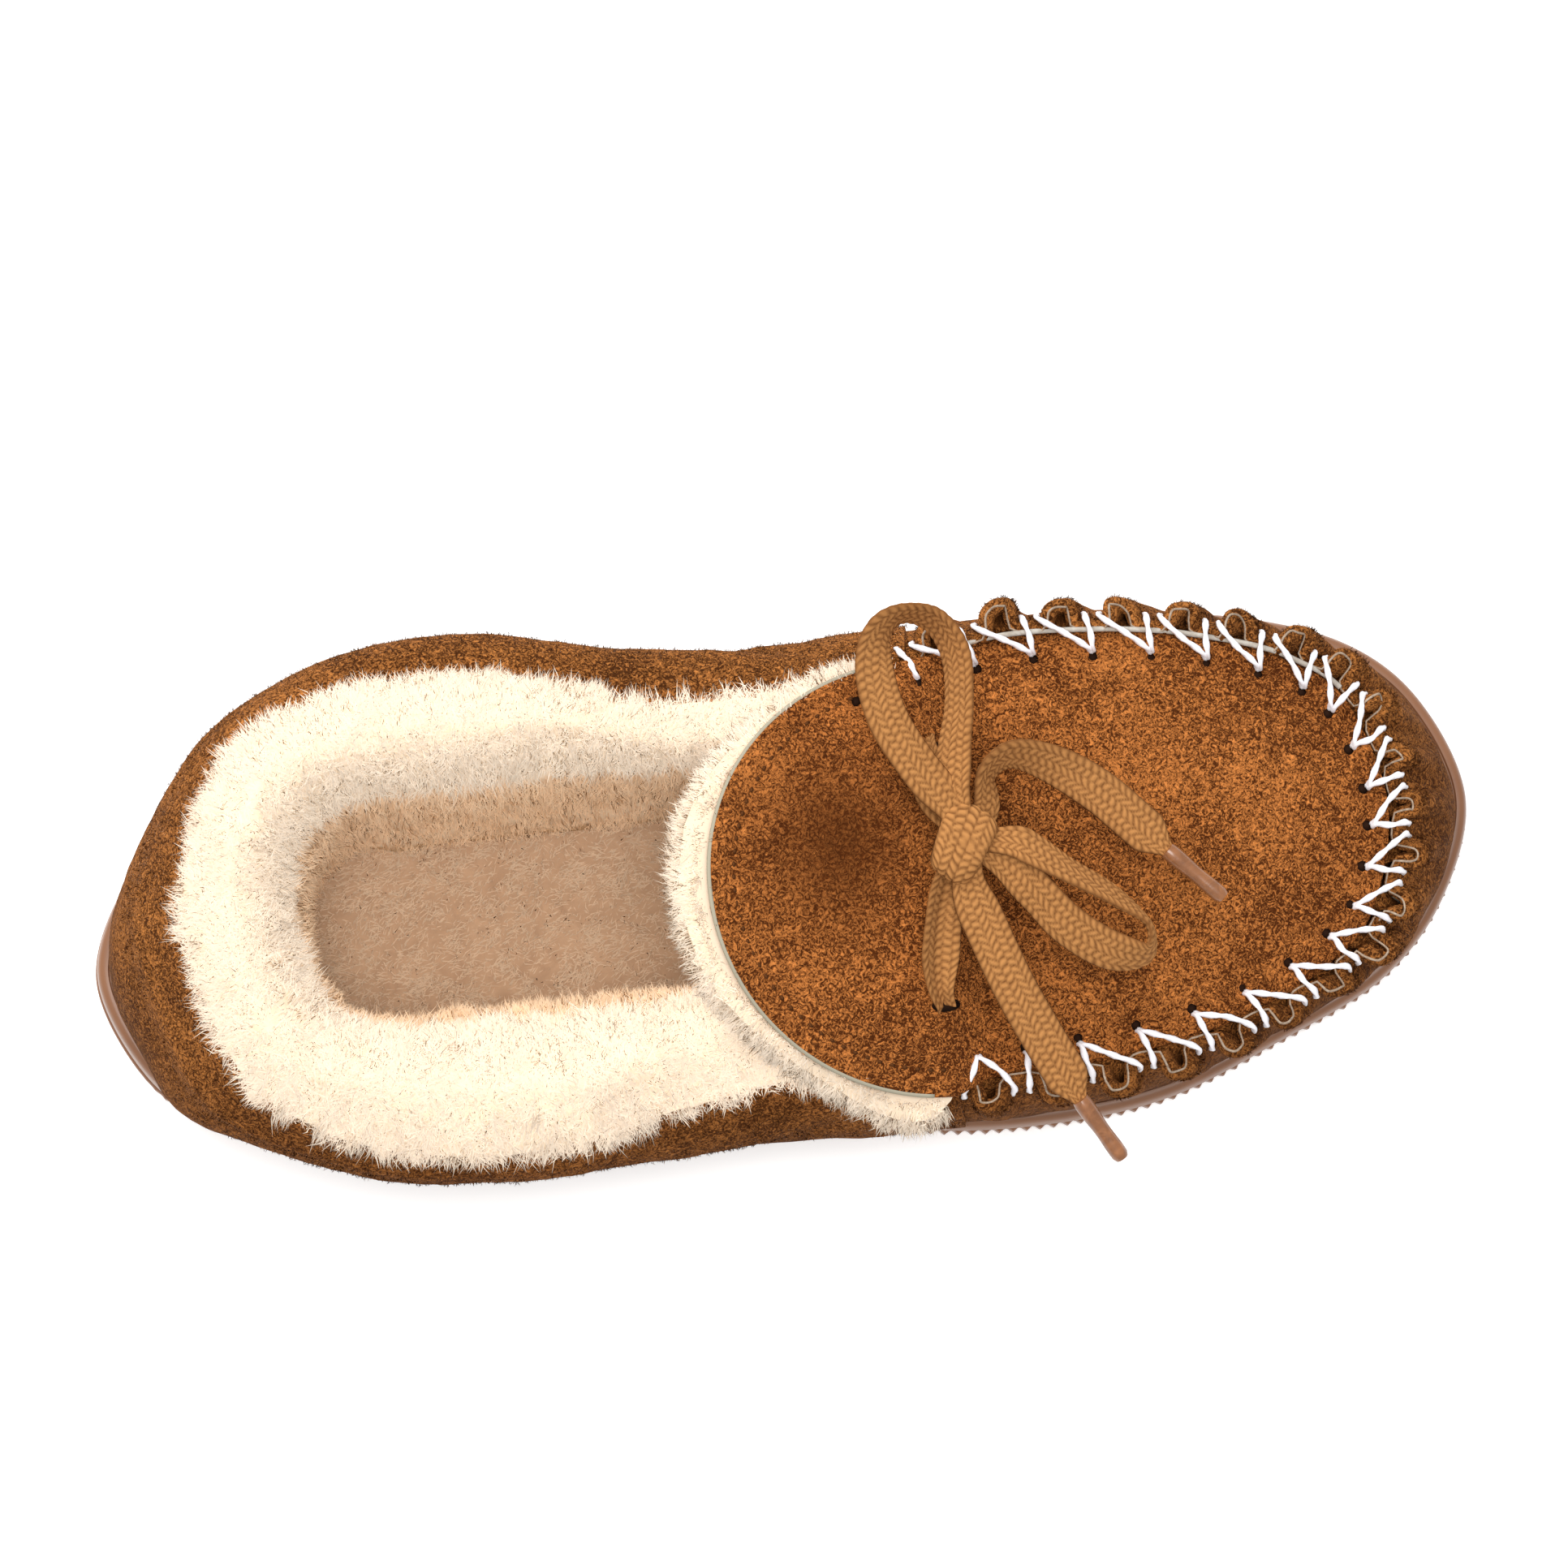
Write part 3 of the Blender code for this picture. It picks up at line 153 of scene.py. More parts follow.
def spline(rows: np.ndarray, places: np.ndarray, closed: bool = False) -> np.ndarray:
    """Catmull-Rom curve through rows.

    Args:
        rows: Rows of any shape after the first axis.
        places: Where to read it, counting rows from 0.
        closed: Whether the last row is followed by the first.

    Returns:
        One row for each place.
    """
    rows = np.asarray(rows, dtype=float)
    places = np.asarray(places, dtype=float)
    count = len(rows)
    if closed:
        first = np.floor(places).astype(int)
        p0, p1, p2, p3 = (rows[(first + step) % count] for step in (-1, 0, 1, 2))
    else:
        first = np.clip(np.floor(places).astype(int), 0, count - 2)
        padded = np.concatenate([2.0 * rows[:1] - rows[1:2], rows, 2.0 * rows[-1:] - rows[-2:-1]])
        p0, p1, p2, p3 = (padded[first + step] for step in (0, 1, 2, 3))
    part = (places - first).reshape((-1,) + (1,) * (rows.ndim - 1))
    return 0.5 * (2.0 * p1 + (p2 - p0) * part + (2.0 * p0 - 5.0 * p1 + 4.0 * p2 - p3) * part ** 2
                  + (3.0 * p1 - p0 - 3.0 * p2 + p3) * part ** 3)


def lattice_noise(points: np.ndarray, size: float, seed: int) -> np.ndarray:
    """Smooth noise: random values at the corners of a lattice, blended softly between them.

    Args:
        points: Array whose last axis is x, y, z.
        size: Side of the lattice's cells in metres.
        seed: Which noise.

    Returns:
        A value from -1 to 1 for each point.
    """
    table = np.random.default_rng(seed).uniform(-1.0, 1.0, 4096)
    scaled = points / size
    cell = np.floor(scaled).astype(np.int64)
    part = scaled - cell
    part = part * part * (3.0 - 2.0 * part)
    total = np.zeros(points.shape[:-1])
    for corner in np.ndindex(2, 2, 2):
        at = cell + np.array(corner)
        key = (at[..., 0] * 73856093 ^ at[..., 1] * 19349663 ^ at[..., 2] * 83492791) & 4095
        weight = np.prod(np.where(np.array(corner) == 1, part, 1.0 - part), axis=-1)
        total += table[key] * weight
    return total


def grid_faces(rows: int, columns: int, start: int = 0, wrap_rows: bool = False,
               wrap_columns: bool = False) -> np.ndarray:
    """Quads of a grid whose points are stored row by row.

    Args:
        rows: Number of rows.
        columns: Number of columns.
        start: Number of its first point.
        wrap_rows: Whether the last row meets the first.
        wrap_columns: Whether the last column meets the first.

    Returns:
        An array of four point numbers a face.
    """
    i, j = np.meshgrid(np.arange(rows if wrap_rows else rows - 1),
                       np.arange(columns if wrap_columns else columns - 1), indexing="ij")
    below = (i + 1) % rows
    right = (j + 1) % columns
    quads = np.stack([i * columns + j, i * columns + right,
                      below * columns + right, below * columns + j], -1)
    return start + quads.reshape(-1, 4)


def grid_normals(points: np.ndarray, toward: np.ndarray, wrap_columns: bool = False) -> np.ndarray:
    """Unit normals of a grid: the cross product of its steps along rows and columns.

    Args:
        points: Grid of points, rows by columns by 3.
        toward: A vector, or one for each point, on the side that the normals should take.
        wrap_columns: Whether the columns close.

    Returns:
        A normal for each point.
    """
    if wrap_columns:
        along = np.roll(points, -1, axis=1) - np.roll(points, 1, axis=1)
    else:
        along = np.gradient(points, axis=1)
    across = np.gradient(points, axis=0)
    normals = unit(np.cross(along, across))
    lost = np.linalg.norm(normals, axis=-1) < 0.5
    normals[lost] = unit(np.broadcast_to(toward, normals.shape)[lost])
    return normals * (1.0 if np.sum(normals * toward) >= 0.0 else -1.0)


def signed_volume(points: np.ndarray, faces: list[np.ndarray]) -> float:
    """Volume inside closed faces, below zero where they are inside out.

    Args:
        points: Points of the mesh.
        faces: Arrays of point numbers, each with its own number of corners.

    Returns:
        The volume in cubic metres.
    """
    total = 0.0
    for group in faces:
        first = points[group[:, 0]]
        for k in range(1, group.shape[1] - 1):
            total += float(np.sum(first * np.cross(points[group[:, k]], points[group[:, k + 1]]))) / 6.0
    return total


def mesh_piece(name: str, points: np.ndarray, faces: list[np.ndarray], finish: bpy.types.Material,
               slot: str, replaces: tuple[str, ...] = (), closed: bool = True,
               marks: dict[str, np.ndarray] | None = None,
               shading: np.ndarray | None = None, sharp: float | None = None) -> bpy.types.Object:
    """A mesh object that rides on the shoe.

    Args:
        name: Name of the object.
        points: Its points.
        faces: Arrays of point numbers, each with its own number of corners.
        finish: Its material.
        slot: The record's material slot that it belongs to; not used.
        replaces: CAD nodes that it stands for.
        closed: Whether it encloses a volume, so that its faces can be turned outwards.
        marks: Numbers kept with each point, by name.
        shading: A normal for each point to be lit by, or None for the faces' own.
        sharp: Angle in degrees above which an edge stays sharp.

    Returns:
        The object.
    """
    if closed and signed_volume(points, faces) < 0.0:
        faces = [group[:, ::-1] for group in faces]
    corners = np.concatenate([group.ravel() for group in faces]).astype(np.int32)
    counts = np.concatenate([np.full(len(group), group.shape[1]) for group in faces])
    mesh = bpy.data.meshes.new(name)
    mesh.vertices.add(len(points))
    mesh.vertices.foreach_set("co", np.ascontiguousarray(points, dtype=np.float32).ravel())
    mesh.loops.add(len(corners))
    mesh.loops.foreach_set("vertex_index", corners)
    mesh.polygons.add(len(counts))
    mesh.polygons.foreach_set("loop_start", (np.cumsum(counts) - counts).astype(np.int32))
    mesh.update(calc_edges=True)
    for mark, values in (marks or {}).items():
        kept = mesh.attributes.new(name=mark, type="FLOAT", domain="POINT")
        kept.data.foreach_set("value", np.ascontiguousarray(values, dtype=np.float32))
    mesh.shade_smooth()
    if shading is not None:
        lit = mesh.attributes.new(name="custom_normal", type="FLOAT_VECTOR", domain="POINT")
        lit.data.foreach_set("vector", np.ascontiguousarray(shading, dtype=np.float32).ravel())
    if sharp is not None:
        mesh.set_sharp_from_angle(angle=math.radians(sharp))
    mesh.materials.append(finish)
    made = bpy.data.objects.new(name, mesh)
    bpy.context.scene.collection.objects.link(made)
    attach(made, ROOT)
    if replaces:
        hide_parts(*replaces)
    LOG.info("%s: %d triangles", name, int(np.sum(counts - 2)))
    return made


def shell(outer: np.ndarray, thickness: np.ndarray | float, toward: np.ndarray, edge: Edge,
          wrap_columns: bool = False) -> tuple[np.ndarray, list[np.ndarray], np.ndarray]:
    """A wall with rounded edges under a grid of points.

    The profile of each column goes up the outer face, over a half-round edge and down the inner
    face, which lies one thickness behind the outer one along its normals.

    Args:
        outer: Grid of the outer face, rows by columns by 3.
        thickness: Of the wall.
        toward: A vector, or one for each point, on the outer side.
        edge: Which ends of the profile are rounded.
        wrap_columns: Whether the columns close.

    Returns:
        The points, the faces and the grid of the normals.
    """
    normals = grid_normals(outer, toward, wrap_columns)
    inner = outer - normals * thickness
    turns = np.radians((40.0, 90.0, 140.0))
    rounds = []
    for row, beyond in ((-1, -2), (0, 1)):
        middle = 0.5 * (outer[row] + inner[row])
        half = 0.5 * (outer[row] - inner[row])
        ahead = unit(outer[row] - outer[beyond]) * np.linalg.norm(half, axis=-1, keepdims=True)
        rounds.append([middle + half * math.cos(t) + ahead * math.sin(t) for t in turns])
    rows = [outer, np.array(rounds[0]), inner[::-1]]
    if edge is Edge.BOTH:
        rows.append(np.array(rounds[1][::-1]))
    profile = np.concatenate(rows)
    count, columns = profile.shape[:2]
    faces = [grid_faces(count, columns, 0, True, wrap_columns)]
    if not wrap_columns:
        height = len(outer)
        level = np.arange(height - 1)
        far = 2 * height + 2 - level
        for column, order in ((0, 1), (columns - 1, -1)):
            cap = np.stack([level, far, far - 1, level + 1], axis=1)
            faces.append((cap * columns + column)[:, ::order])
            tip = np.arange(height - 1, height + 4)[None, ::-1]
            faces.append((tip * columns + column)[:, ::order])
            if edge is Edge.BOTH:
                foot = np.concatenate([np.arange(2 * height + 2, 2 * height + 6), [0]])[None, ::-1]
                faces.append((foot * columns + column)[:, ::order])
    return profile.reshape(-1, 3), faces, normals


def tube(path: np.ndarray, radius: np.ndarray | float, sides: int, lobes: int = 0,
         twist: float = 0.0) -> tuple[np.ndarray, list[np.ndarray]]:
    """Tube along a path, with flat ends. Lobes turning round it make it a laid thread.

    The radius at angle a and distance s is r * (0.78 + 0.22 * cos(lobes * a + s * twist)).

    Args:
        path: Points of its centreline.
        radius: Of the tube, one number or one for each point.
        sides: Points round it.
        lobes: Strands of the thread, 0 for a plain tube.
        twist: Turns of the lobes in radians a metre.

    Returns:
        The points and the faces.
    """
    ahead = unit(np.gradient(path, axis=0))
    level = unit(np.cross(np.array((0.0, 0.0, 1.0)), ahead) + np.array((1e-9, 0.0, 0.0)))
    up = np.cross(ahead, level)
    run = np.concatenate([[0.0], np.cumsum(np.linalg.norm(np.diff(path, axis=0), axis=1))])
    angle = np.linspace(0.0, 2.0 * math.pi, sides, endpoint=False)
    reach = np.broadcast_to(np.reshape(radius, (-1, 1)), (len(path), sides)).copy()
    if lobes:
        reach = reach * (0.78 + 0.22 * np.cos(lobes * angle + run[:, None] * twist))
    ring = (path[:, None] + level[:, None] * (np.cos(angle) * reach)[..., None]
            + up[:, None] * (np.sin(angle) * reach)[..., None])
    faces = [grid_faces(len(path), sides, 0, False, True), np.arange(sides)[None, ::-1],
             ((len(path) - 1) * sides + np.arange(sides))[None]]
    return ring.reshape(-1, 3), faces


def joined(parts: list[tuple[np.ndarray, list[np.ndarray]]]) -> tuple[np.ndarray, list[np.ndarray]]:
    """Joins the points and faces of several meshes, each turned outwards first.

    Args:
        parts: Points and faces of each.

    Returns:
        All the points and faces together.
    """
    points = []
    faces = []
    start = 0
    for own_points, own_faces in parts:
        flip = -1 if signed_volume(own_points, own_faces) < 0.0 else 1
        faces += [group[:, ::flip] + start for group in own_faces]
        points.append(own_points)
        start += len(own_points)
    return np.concatenate(points), faces


@dataclass(frozen=True)
class Last:
    """Sizes of the shoe and the lines and surfaces that follow from them, as in the part."""

    length: float = 0.256
    ball_width: float = 0.094
    heel_width: float = 0.062
    collar_height: float = 0.062
    toe_height: float = 0.042
    tongue_height: float = 0.077
    side_shift: float = 0.0002
    gap: float = 0.0003
    heel_rim_lean: float = 0.018
    toe_rim_lean: float = 0.017
    heel_belly_lean: float = 0.007
    toe_belly_lean: float = 0.006
    heel_thickness: float = 0.0115
    fore_thickness: float = 0.0090
    toe_spring: float = 0.0080
    heel_spring: float = 0.0010
    arch_lift: float = 0.0015
    feather_inset: float = 0.0042
    wall: float = 0.0022
    throat: float = 7.2
    puckers: int = 21
    plug_crown: float = 0.006
    plug_sink: float = 0.0004
    tongue_reach: float = 0.040
    tongue_half_width: float = 0.0384
    tongue_sideways: float = -0.005
    tongue_dish: float = 0.0025
    dish_reach: float = 0.016
    ear_lift: float = 0.005
    ear_length: float = 0.007
    insole_thickness: float = 0.005
    cavity_half_width: float = 0.020
    cavity_foot: float = 0.016
    cavity_heel: float = 0.021
    collar_crest: float = 0.0065

    def _loop(self, outer: int, inner: int, back: float, front: float, rise: np.ndarray,
              places: np.ndarray) -> np.ndarray:
        """Closed curve down the outer side of the shoe and back up its inner side.

        Args:
            outer: Column of the table with the outer half-width.
            inner: Column with the inner half-width.
            back: x of its rear end.
            front: x of its front end.
            rise: Height at each row of the table.
            places: Where to read it, counting rows from 0.

        Returns:
            A point for each place.
        """
        half = self.heel_width / 2 + SECTIONS[:, 1] * (self.ball_width - self.heel_width) / 2
        along = back + SECTIONS[:, 0] * (front - back)
        near = np.column_stack([along, -SECTIONS[:, outer] * half + self.side_shift, rise])
        far = np.column_stack([along, SECTIONS[:, inner] * half + self.side_shift, rise])
        return spline(np.vstack([near, far[-2:0:-1]]), places, True)

    def rim_heights(self) -> np.ndarray:
        """Returns: height of the upper's top edge at each row of the table."""
        return self.toe_height + SECTIONS[:, 9] * (self.collar_height - self.toe_height)

    def sole_line(self, places: np.ndarray) -> np.ndarray:
        """Outline of the outsole. Args: places: rows of the loop. Returns: points at z 0."""
        return self._loop(2, 3, -self.length / 2, self.length / 2, np.zeros(len(SECTIONS)), places)

    def belly_line(self, places: np.ndarray) -> np.ndarray:
        """Where the upper bulges most. Args: places: rows of the loop. Returns: points."""
        back = -self.length / 2 + self.heel_belly_lean
        front = self.length / 2 - self.toe_belly_lean
        return self._loop(4, 5, back, front, self.rim_heights() * SECTIONS[:, 6], places)

    def rim_line(self, places: np.ndarray) -> np.ndarray:
        """Top edge of the upper. Args: places: rows of the loop. Returns: points."""
        back = -self.length / 2 + self.heel_rim_lean
        front = self.length / 2 - self.toe_rim_lean
        return self._loop(7, 8, back, front, self.rim_heights(), places)

    @staticmethod
    def outward(line: Line, places: np.ndarray) -> np.ndarray:
        """Level normals away from the shoe. Args: line: a loop. places: rows. Returns: vectors."""
        along = line(places + 0.01) - line(places - 0.01)
        return unit(np.column_stack([along[:, 1], -along[:, 0], np.zeros(len(along))]))

    @staticmethod
    def even_places(line: Line, count: int, start: float = 0.0, end: float = LOOP,
                    crowd: float = 0.0) -> np.ndarray:
        """Places that divide a stretch of a line evenly.

        Args:
            line: A loop's method.
            count: Number of runs.
            start: First place.
            end: Last place.
            crowd: How much tighter the runs are at the toe.

        Returns:
            The places, one more than the runs.
        """
        fine = np.linspace(start, end, 2400)
        steps = np.linalg.norm(np.diff(line(fine), axis=0), axis=1)
        middle = 0.5 * (fine[1:] + fine[:-1])
        steps = steps * (1.0 + crowd * np.exp(-((middle - LOOP / 2) / 2.2) ** 2))
        run = np.concatenate([[0.0], np.cumsum(steps)])
        return np.interp(np.linspace(0.0, run[-1], count + 1), run, fine)

    def spring(self, share: np.ndarray) -> np.ndarray:
        """Curl of the sole at heel and toe. Args: share: of its length. Returns: heights."""
        toe = np.clip((share - 0.76) / 0.24, 0.0, 1.0) ** 2
        heel = np.clip((0.06 - share) / 0.06, 0.0, 1.0) ** 2
        return self.toe_spring * toe + self.heel_spring * heel

    def floor(self, along: np.ndarray) -> np.ndarray:
        """Underside of the sole. Args: along: x of the points. Returns: heights."""
        share = along / self.length + 0.5
        waist = smooth_step(share, 0.32, 0.42) * (1.0 - smooth_step(share, 0.46, 0.56))
        return self.spring(share) + self.arch_lift * waist

    def sole_top(self, along: np.ndarray) -> np.ndarray:
        """Upper face of the sole. Args: along: x of the points. Returns: heights."""
        share = along / self.length + 0.5
        thinner = (self.heel_thickness - self.fore_thickness) * smooth_step(share, 0.25, 0.65)
        return self.spring(share) + self.heel_thickness - thinner

    def valleys(self) -> np.ndarray:
        """Returns: places of the puckers' valleys, with one more beyond each end."""
        inside = self.even_places(self.rim_line, self.puckers, self.throat, LOOP - self.throat, 0.35)
        return np.concatenate([[2 * inside[0] - inside[1]], inside, [2 * inside[-1] - inside[-2]]])

    def bare_wall(self, places: np.ndarray, level: np.ndarray) -> np.ndarray:
        """Outer face of the upper without puckers: a parabola over feather edge, belly and rim.

        Args:
            places: Rows of the loop.
            level: Share of the wall's height, one for each place or one number.

        Returns:
            The points.
        """
        level = np.reshape(level, (-1, 1))
        feather = self.sole_line(places) - self.outward(self.sole_line, places) * self.feather_inset
        feather[:, 2] = self.sole_top(feather[:, 0]) + self.gap
        return (feather * (1.0 - level) * (1.0 - 2.0 * level)
                + self.belly_line(places) * 4.0 * level * (1.0 - level)
                + self.rim_line(places) * level * (2.0 * level - 1.0))

    def throat_x(self) -> float:
        """Returns: where the tongue's ears end and the sewn seam begins."""
        return float(self.rim_line(np.array([self.throat]))[0, 0])

    def edge_height(self, along: np.ndarray) -> np.ndarray:
        """Height of the plug's edge. Args: along: x of the points. Returns: heights."""
        rows = self.rim_line(np.arange(0, LOOP // 2 + 1))
        rim = np.interp(along, rows[:, 0], rows[:, 2])
        throat = self.throat_x()
        fade = 1.0 - smooth_step(along, throat, throat + self.ear_length)
        lift = (self.ear_lift + self.plug_sink) * fade
        return rim - self.plug_sink + lift

    def plug_edges(self, turns: int, seams: int) -> tuple[np.ndarray, np.ndarray]:
        """Outer and inner edge of the plug, in pairs from the tongue's tip to the toe.

        Args:
            turns: Points round the tongue.
            seams: Points along the seam.

        Returns:
            The two edges on the plan.
        """
        angle = np.radians(np.linspace(0.0, 90.0, turns))
        along = self.throat_x() - self.tongue_reach * np.cos(angle)
        across = self.tongue_half_width * np.sin(angle)
        middle = self.tongue_sideways + self.side_shift
        places = self.even_places(self.rim_line, seams, self.throat + 0.32, LOOP / 2)
        sides = []
        for loop, sign in ((places, -1.0), (LOOP - places, 1.0)):
            seam = self.rim_line(loop) - self.outward(self.rim_line, loop) * (self.wall + self.gap)
            sides.append(np.vstack([np.column_stack([along, middle + sign * across]), seam[:, :2]]))
        return sides[0], sides[1]

    def plug_height(self, points: np.ndarray) -> np.ndarray:
        """Height of the plug's upper face.

        Args:
            points: Points on the plan, one row each.

        Returns:
            Edge height plus a crown that falls off as 1 - s^2 across, less the dish of the tongue.
        """
        outer, inner = self.plug_edges(8, 60)
        throat = self.throat_x()
        seam = outer[:, 0] > throat - 1e-6
        along = points[:, 0]
        middle = np.interp(along, outer[seam, 0], 0.5 * (outer[seam, 1] + inner[seam, 1]))
        half = np.interp(along, outer[seam, 0], 0.5 * (inner[seam, 1] - outer[seam, 1]))
        share = np.clip(np.abs(points[:, 1] - middle) / np.maximum(half, 0.002), 0.0, 1.25)
        toe = self.length / 2 - self.toe_rim_lean - self.wall - self.gap
        crown = self.plug_crown * (1.0 - np.clip((along - throat) / (toe - throat), 0.0, 1.0) ** 4)
        base = self.edge_height(np.array([throat]))[0]
        back = np.clip((throat - along) / self.tongue_reach, 0.0, 1.3)
        rise = (self.tongue_height - self.plug_crown - base) * back ** 1.2
        edge = np.where(along > throat, self.edge_height(np.maximum(along, throat)), base + rise)
        away = ((along - throat + 0.45 * self.tongue_reach) ** 2
                + (points[:, 1] - self.tongue_sideways) ** 2)
        return edge + crown * (1.0 - share ** 2) - self.tongue_dish * np.exp(-away / self.dish_reach ** 2)

    def on_plug(self, flat: np.ndarray, lift: float = 0.0) -> np.ndarray:
        """Points on the plug. Args: flat: plan points. lift: above it. Returns: points in space."""
        return np.column_stack([flat[:, :2], self.plug_height(flat) + lift])

    def cavity_line(self, places: np.ndarray, half_width: float) -> np.ndarray:
        """Plan of the foot's hollow beside each place of the collar: a slot with a rounded heel.

        Args:
            places: Rows of the loop, from 0 to its length.
            half_width: Half the hollow's width.

        Returns:
            Points at z 0.
        """
        rim = self.rim_line(places)
        back = -self.length / 2 + self.heel_rim_lean
        share = (rim[:, 0] - back) / (self.throat_x() - back)
        along = back + self.cavity_heel + share * (self.throat_x() - back - self.cavity_heel)
        corner = np.clip((along - back - self.cavity_heel) / 0.016, 0.0, 1.0)
        half = half_width * (1.0 - (1.0 - corner) ** 2.4) ** (1.0 / 2.4)
        side = np.where(places < LOOP / 2, -1.0, 1.0)
        return np.column_stack([along, side * half + self.side_shift, np.zeros(len(along))])


class Nodes:
    """Builds a shader tree with short calls."""

    def __init__(self, tree: bpy.types.NodeTree) -> None:
        """Keeps the tree. Args: tree: a material's or a group's."""
        self.tree = tree

    def add(self, kind: str, **values: object) -> bpy.types.Node:
        """Adds a node.

        Args:
            kind: Its type after ShaderNode.
            values: Properties of the node, and inputs by name with underscores for spaces.

        Returns:
            The node.
        """
        node = self.tree.nodes.new(kind if kind.startswith("NodeGroup") else "ShaderNode" + kind)
        for key, value in values.items():
            if hasattr(node, key):
                setattr(node, key, value)
            else:
                node.inputs[key.replace("_", " ")].default_value = value
        return node

    def join(self, source: bpy.types.NodeSocket, target: bpy.types.NodeSocket) -> None:
        """Links two sockets. Args: source: an output. target: an input."""
        self.tree.links.new(source, target)

    def math(self, how: str, first: object, second: object) -> bpy.types.NodeSocket:
        """Adds a Math node.

        Args:
            how: Its operation.
            first: A socket or a number.
            second: A socket or a number.

        Returns:
            Its output.
        """
        node = self.add("Math", operation=how)
        for value, target in ((first, node.inputs[0]), (second, node.inputs[1])):
            if isinstance(value, bpy.types.NodeSocket):
                self.join(value, target)
            else:
                target.default_value = value
        return node.outputs[0]


def new_group(name: str, inputs: tuple[tuple[str, str], ...],
              outputs: tuple[tuple[str, str], ...]) -> tuple[bpy.types.NodeTree, Nodes, object, object]:
    """Starts a shader node group.

    Args:
        name: Its name.
        inputs: Name and socket type of each input.
        outputs: Name and socket type of each output.

    Returns:
        The tree, its builder and its input and output nodes.
    """
    tree = bpy.data.node_groups.new(name, "ShaderNodeTree")
    for label, kind in inputs:
        tree.interface.new_socket(name=label, in_out="INPUT", socket_type=kind)
    for label, kind in outputs:
        tree.interface.new_socket(name=label, in_out="OUTPUT", socket_type=kind)
    return tree, Nodes(tree), tree.nodes.new("NodeGroupInput"), tree.nodes.new("NodeGroupOutput")


# Noises of the nap: brushed areas, matted fibres, grain. Columns: scale, detail, roughness, warp.
NAP_NOISES = ((55.0, 2.0, 0.5, 0.4), (860.0, 3.0, 0.6, 2.4), (1700.0, 2.0, 0.7, 1.2))


def nap_group() -> bpy.types.NodeTree:
    """Brushed leather: brushed areas, matted fibres and fine grain, darkened by a painted shade mark.

    Returns:
        The group, from a position and two colours to a colour and a height.
    """
    tree, nodes, start, end = new_group(
        "nap",
        (("Vector", "NodeSocketVector"), ("Dark", "NodeSocketColor"), ("Light", "NodeSocketColor")),
        (("Color", "NodeSocketColor"), ("Height", "NodeSocketFloat")))
    outs = []
    for scale, detail, rough, warp in NAP_NOISES:
        noise = nodes.add("TexNoise", Scale=scale, Detail=detail, Roughness=rough, Distortion=warp)
        nodes.join(start.outputs["Vector"], noise.inputs["Vector"])
        outs.append(noise.outputs["Fac"])
    brushed, fibre, grain = outs
    height = nodes.math("ADD", nodes.math("MULTIPLY", fibre, 0.7), nodes.math("MULTIPLY", grain, 0.3))
    tone = nodes.math("ADD", nodes.math("MULTIPLY", brushed, 0.14), nodes.math("MULTIPLY", height, 0.86))
    ramp = nodes.add("MapRange", From_Min=0.445, From_Max=0.585)
    nodes.join(tone, ramp.inputs["Value"])
    # Painted shade: a mark on the mesh turns the colour towards the dark one.
    painted_shade = nodes.add("Attribute", attribute_name="painted_shade")
    lit = nodes.math("SUBTRACT", 1.0, painted_shade.outputs["Fac"])
    mix = nodes.add("Mix", data_type="RGBA")
    nodes.join(nodes.math("MULTIPLY", ramp.outputs["Result"], lit), mix.inputs["Factor"])
    nodes.join(start.outputs["Dark"], mix.inputs[6])
    nodes.join(start.outputs["Light"], mix.inputs[7])
    nodes.join(mix.outputs[2], end.inputs["Color"])
    nodes.join(height, end.inputs["Height"])
    return tree


def wool_group() -> bpy.types.NodeTree:
    """Wool painted darker at its roots as shade between the strands, with paler and yellower locks.

    Returns:
        The group, from two colours to a colour.
    """
    tree, nodes, start, end = new_group(
        "wool", (("Root", "NodeSocketColor"), ("Tip", "NodeSocketColor")),
        (("Color", "NodeSocketColor"),))
    tip = nodes.add("Attribute", attribute_name="tip")
    tone = nodes.add("Attribute", attribute_name="tone")
    share = nodes.math("ADD", nodes.math("MULTIPLY", tip.outputs["Fac"], 0.85),
                       nodes.math("MULTIPLY", tone.outputs["Fac"], 0.25))
    mix = nodes.add("Mix", data_type="RGBA")
    nodes.join(share, mix.inputs["Factor"])
    nodes.join(start.outputs["Root"], mix.inputs[6])
    nodes.join(start.outputs["Tip"], mix.inputs[7])
    nodes.join(mix.outputs[2], end.inputs["Color"])
    return tree


@dataclass(frozen=True)
class Finish:
    """A finish that makes its material."""

    name: str
    colour: tuple[float, float, float]
    roughness: float = 0.9
    sheen: float = 0.0
    coat: float = 0.0

    def start(self) -> tuple[bpy.types.Material, Nodes, bpy.types.Node]:
        """Returns: the material, the builder of its tree and its Principled BSDF."""
        made = bpy.data.materials.new(self.name)
        made.use_nodes = True
        shader = made.node_tree.nodes["Principled BSDF"]
        shader.inputs["Base Color"].default_value = (*self.colour, 1.0)
        shader.inputs["Roughness"].default_value = self.roughness
        shader.inputs["Sheen Weight"].default_value = self.sheen
        shader.inputs["Sheen Roughness"].default_value = 0.45
        shader.inputs["Coat Weight"].default_value = self.coat
        shader.inputs["Coat Roughness"].default_value = 0.2
        shader.inputs["Specular IOR Level"].default_value = 0.08 if self.roughness > 0.8 else 0.5
        return made, Nodes(made.node_tree), shader

    def material(self) -> bpy.types.Material:
        """Returns: the material, plain unless a finish says more."""
        return self.start()[0]


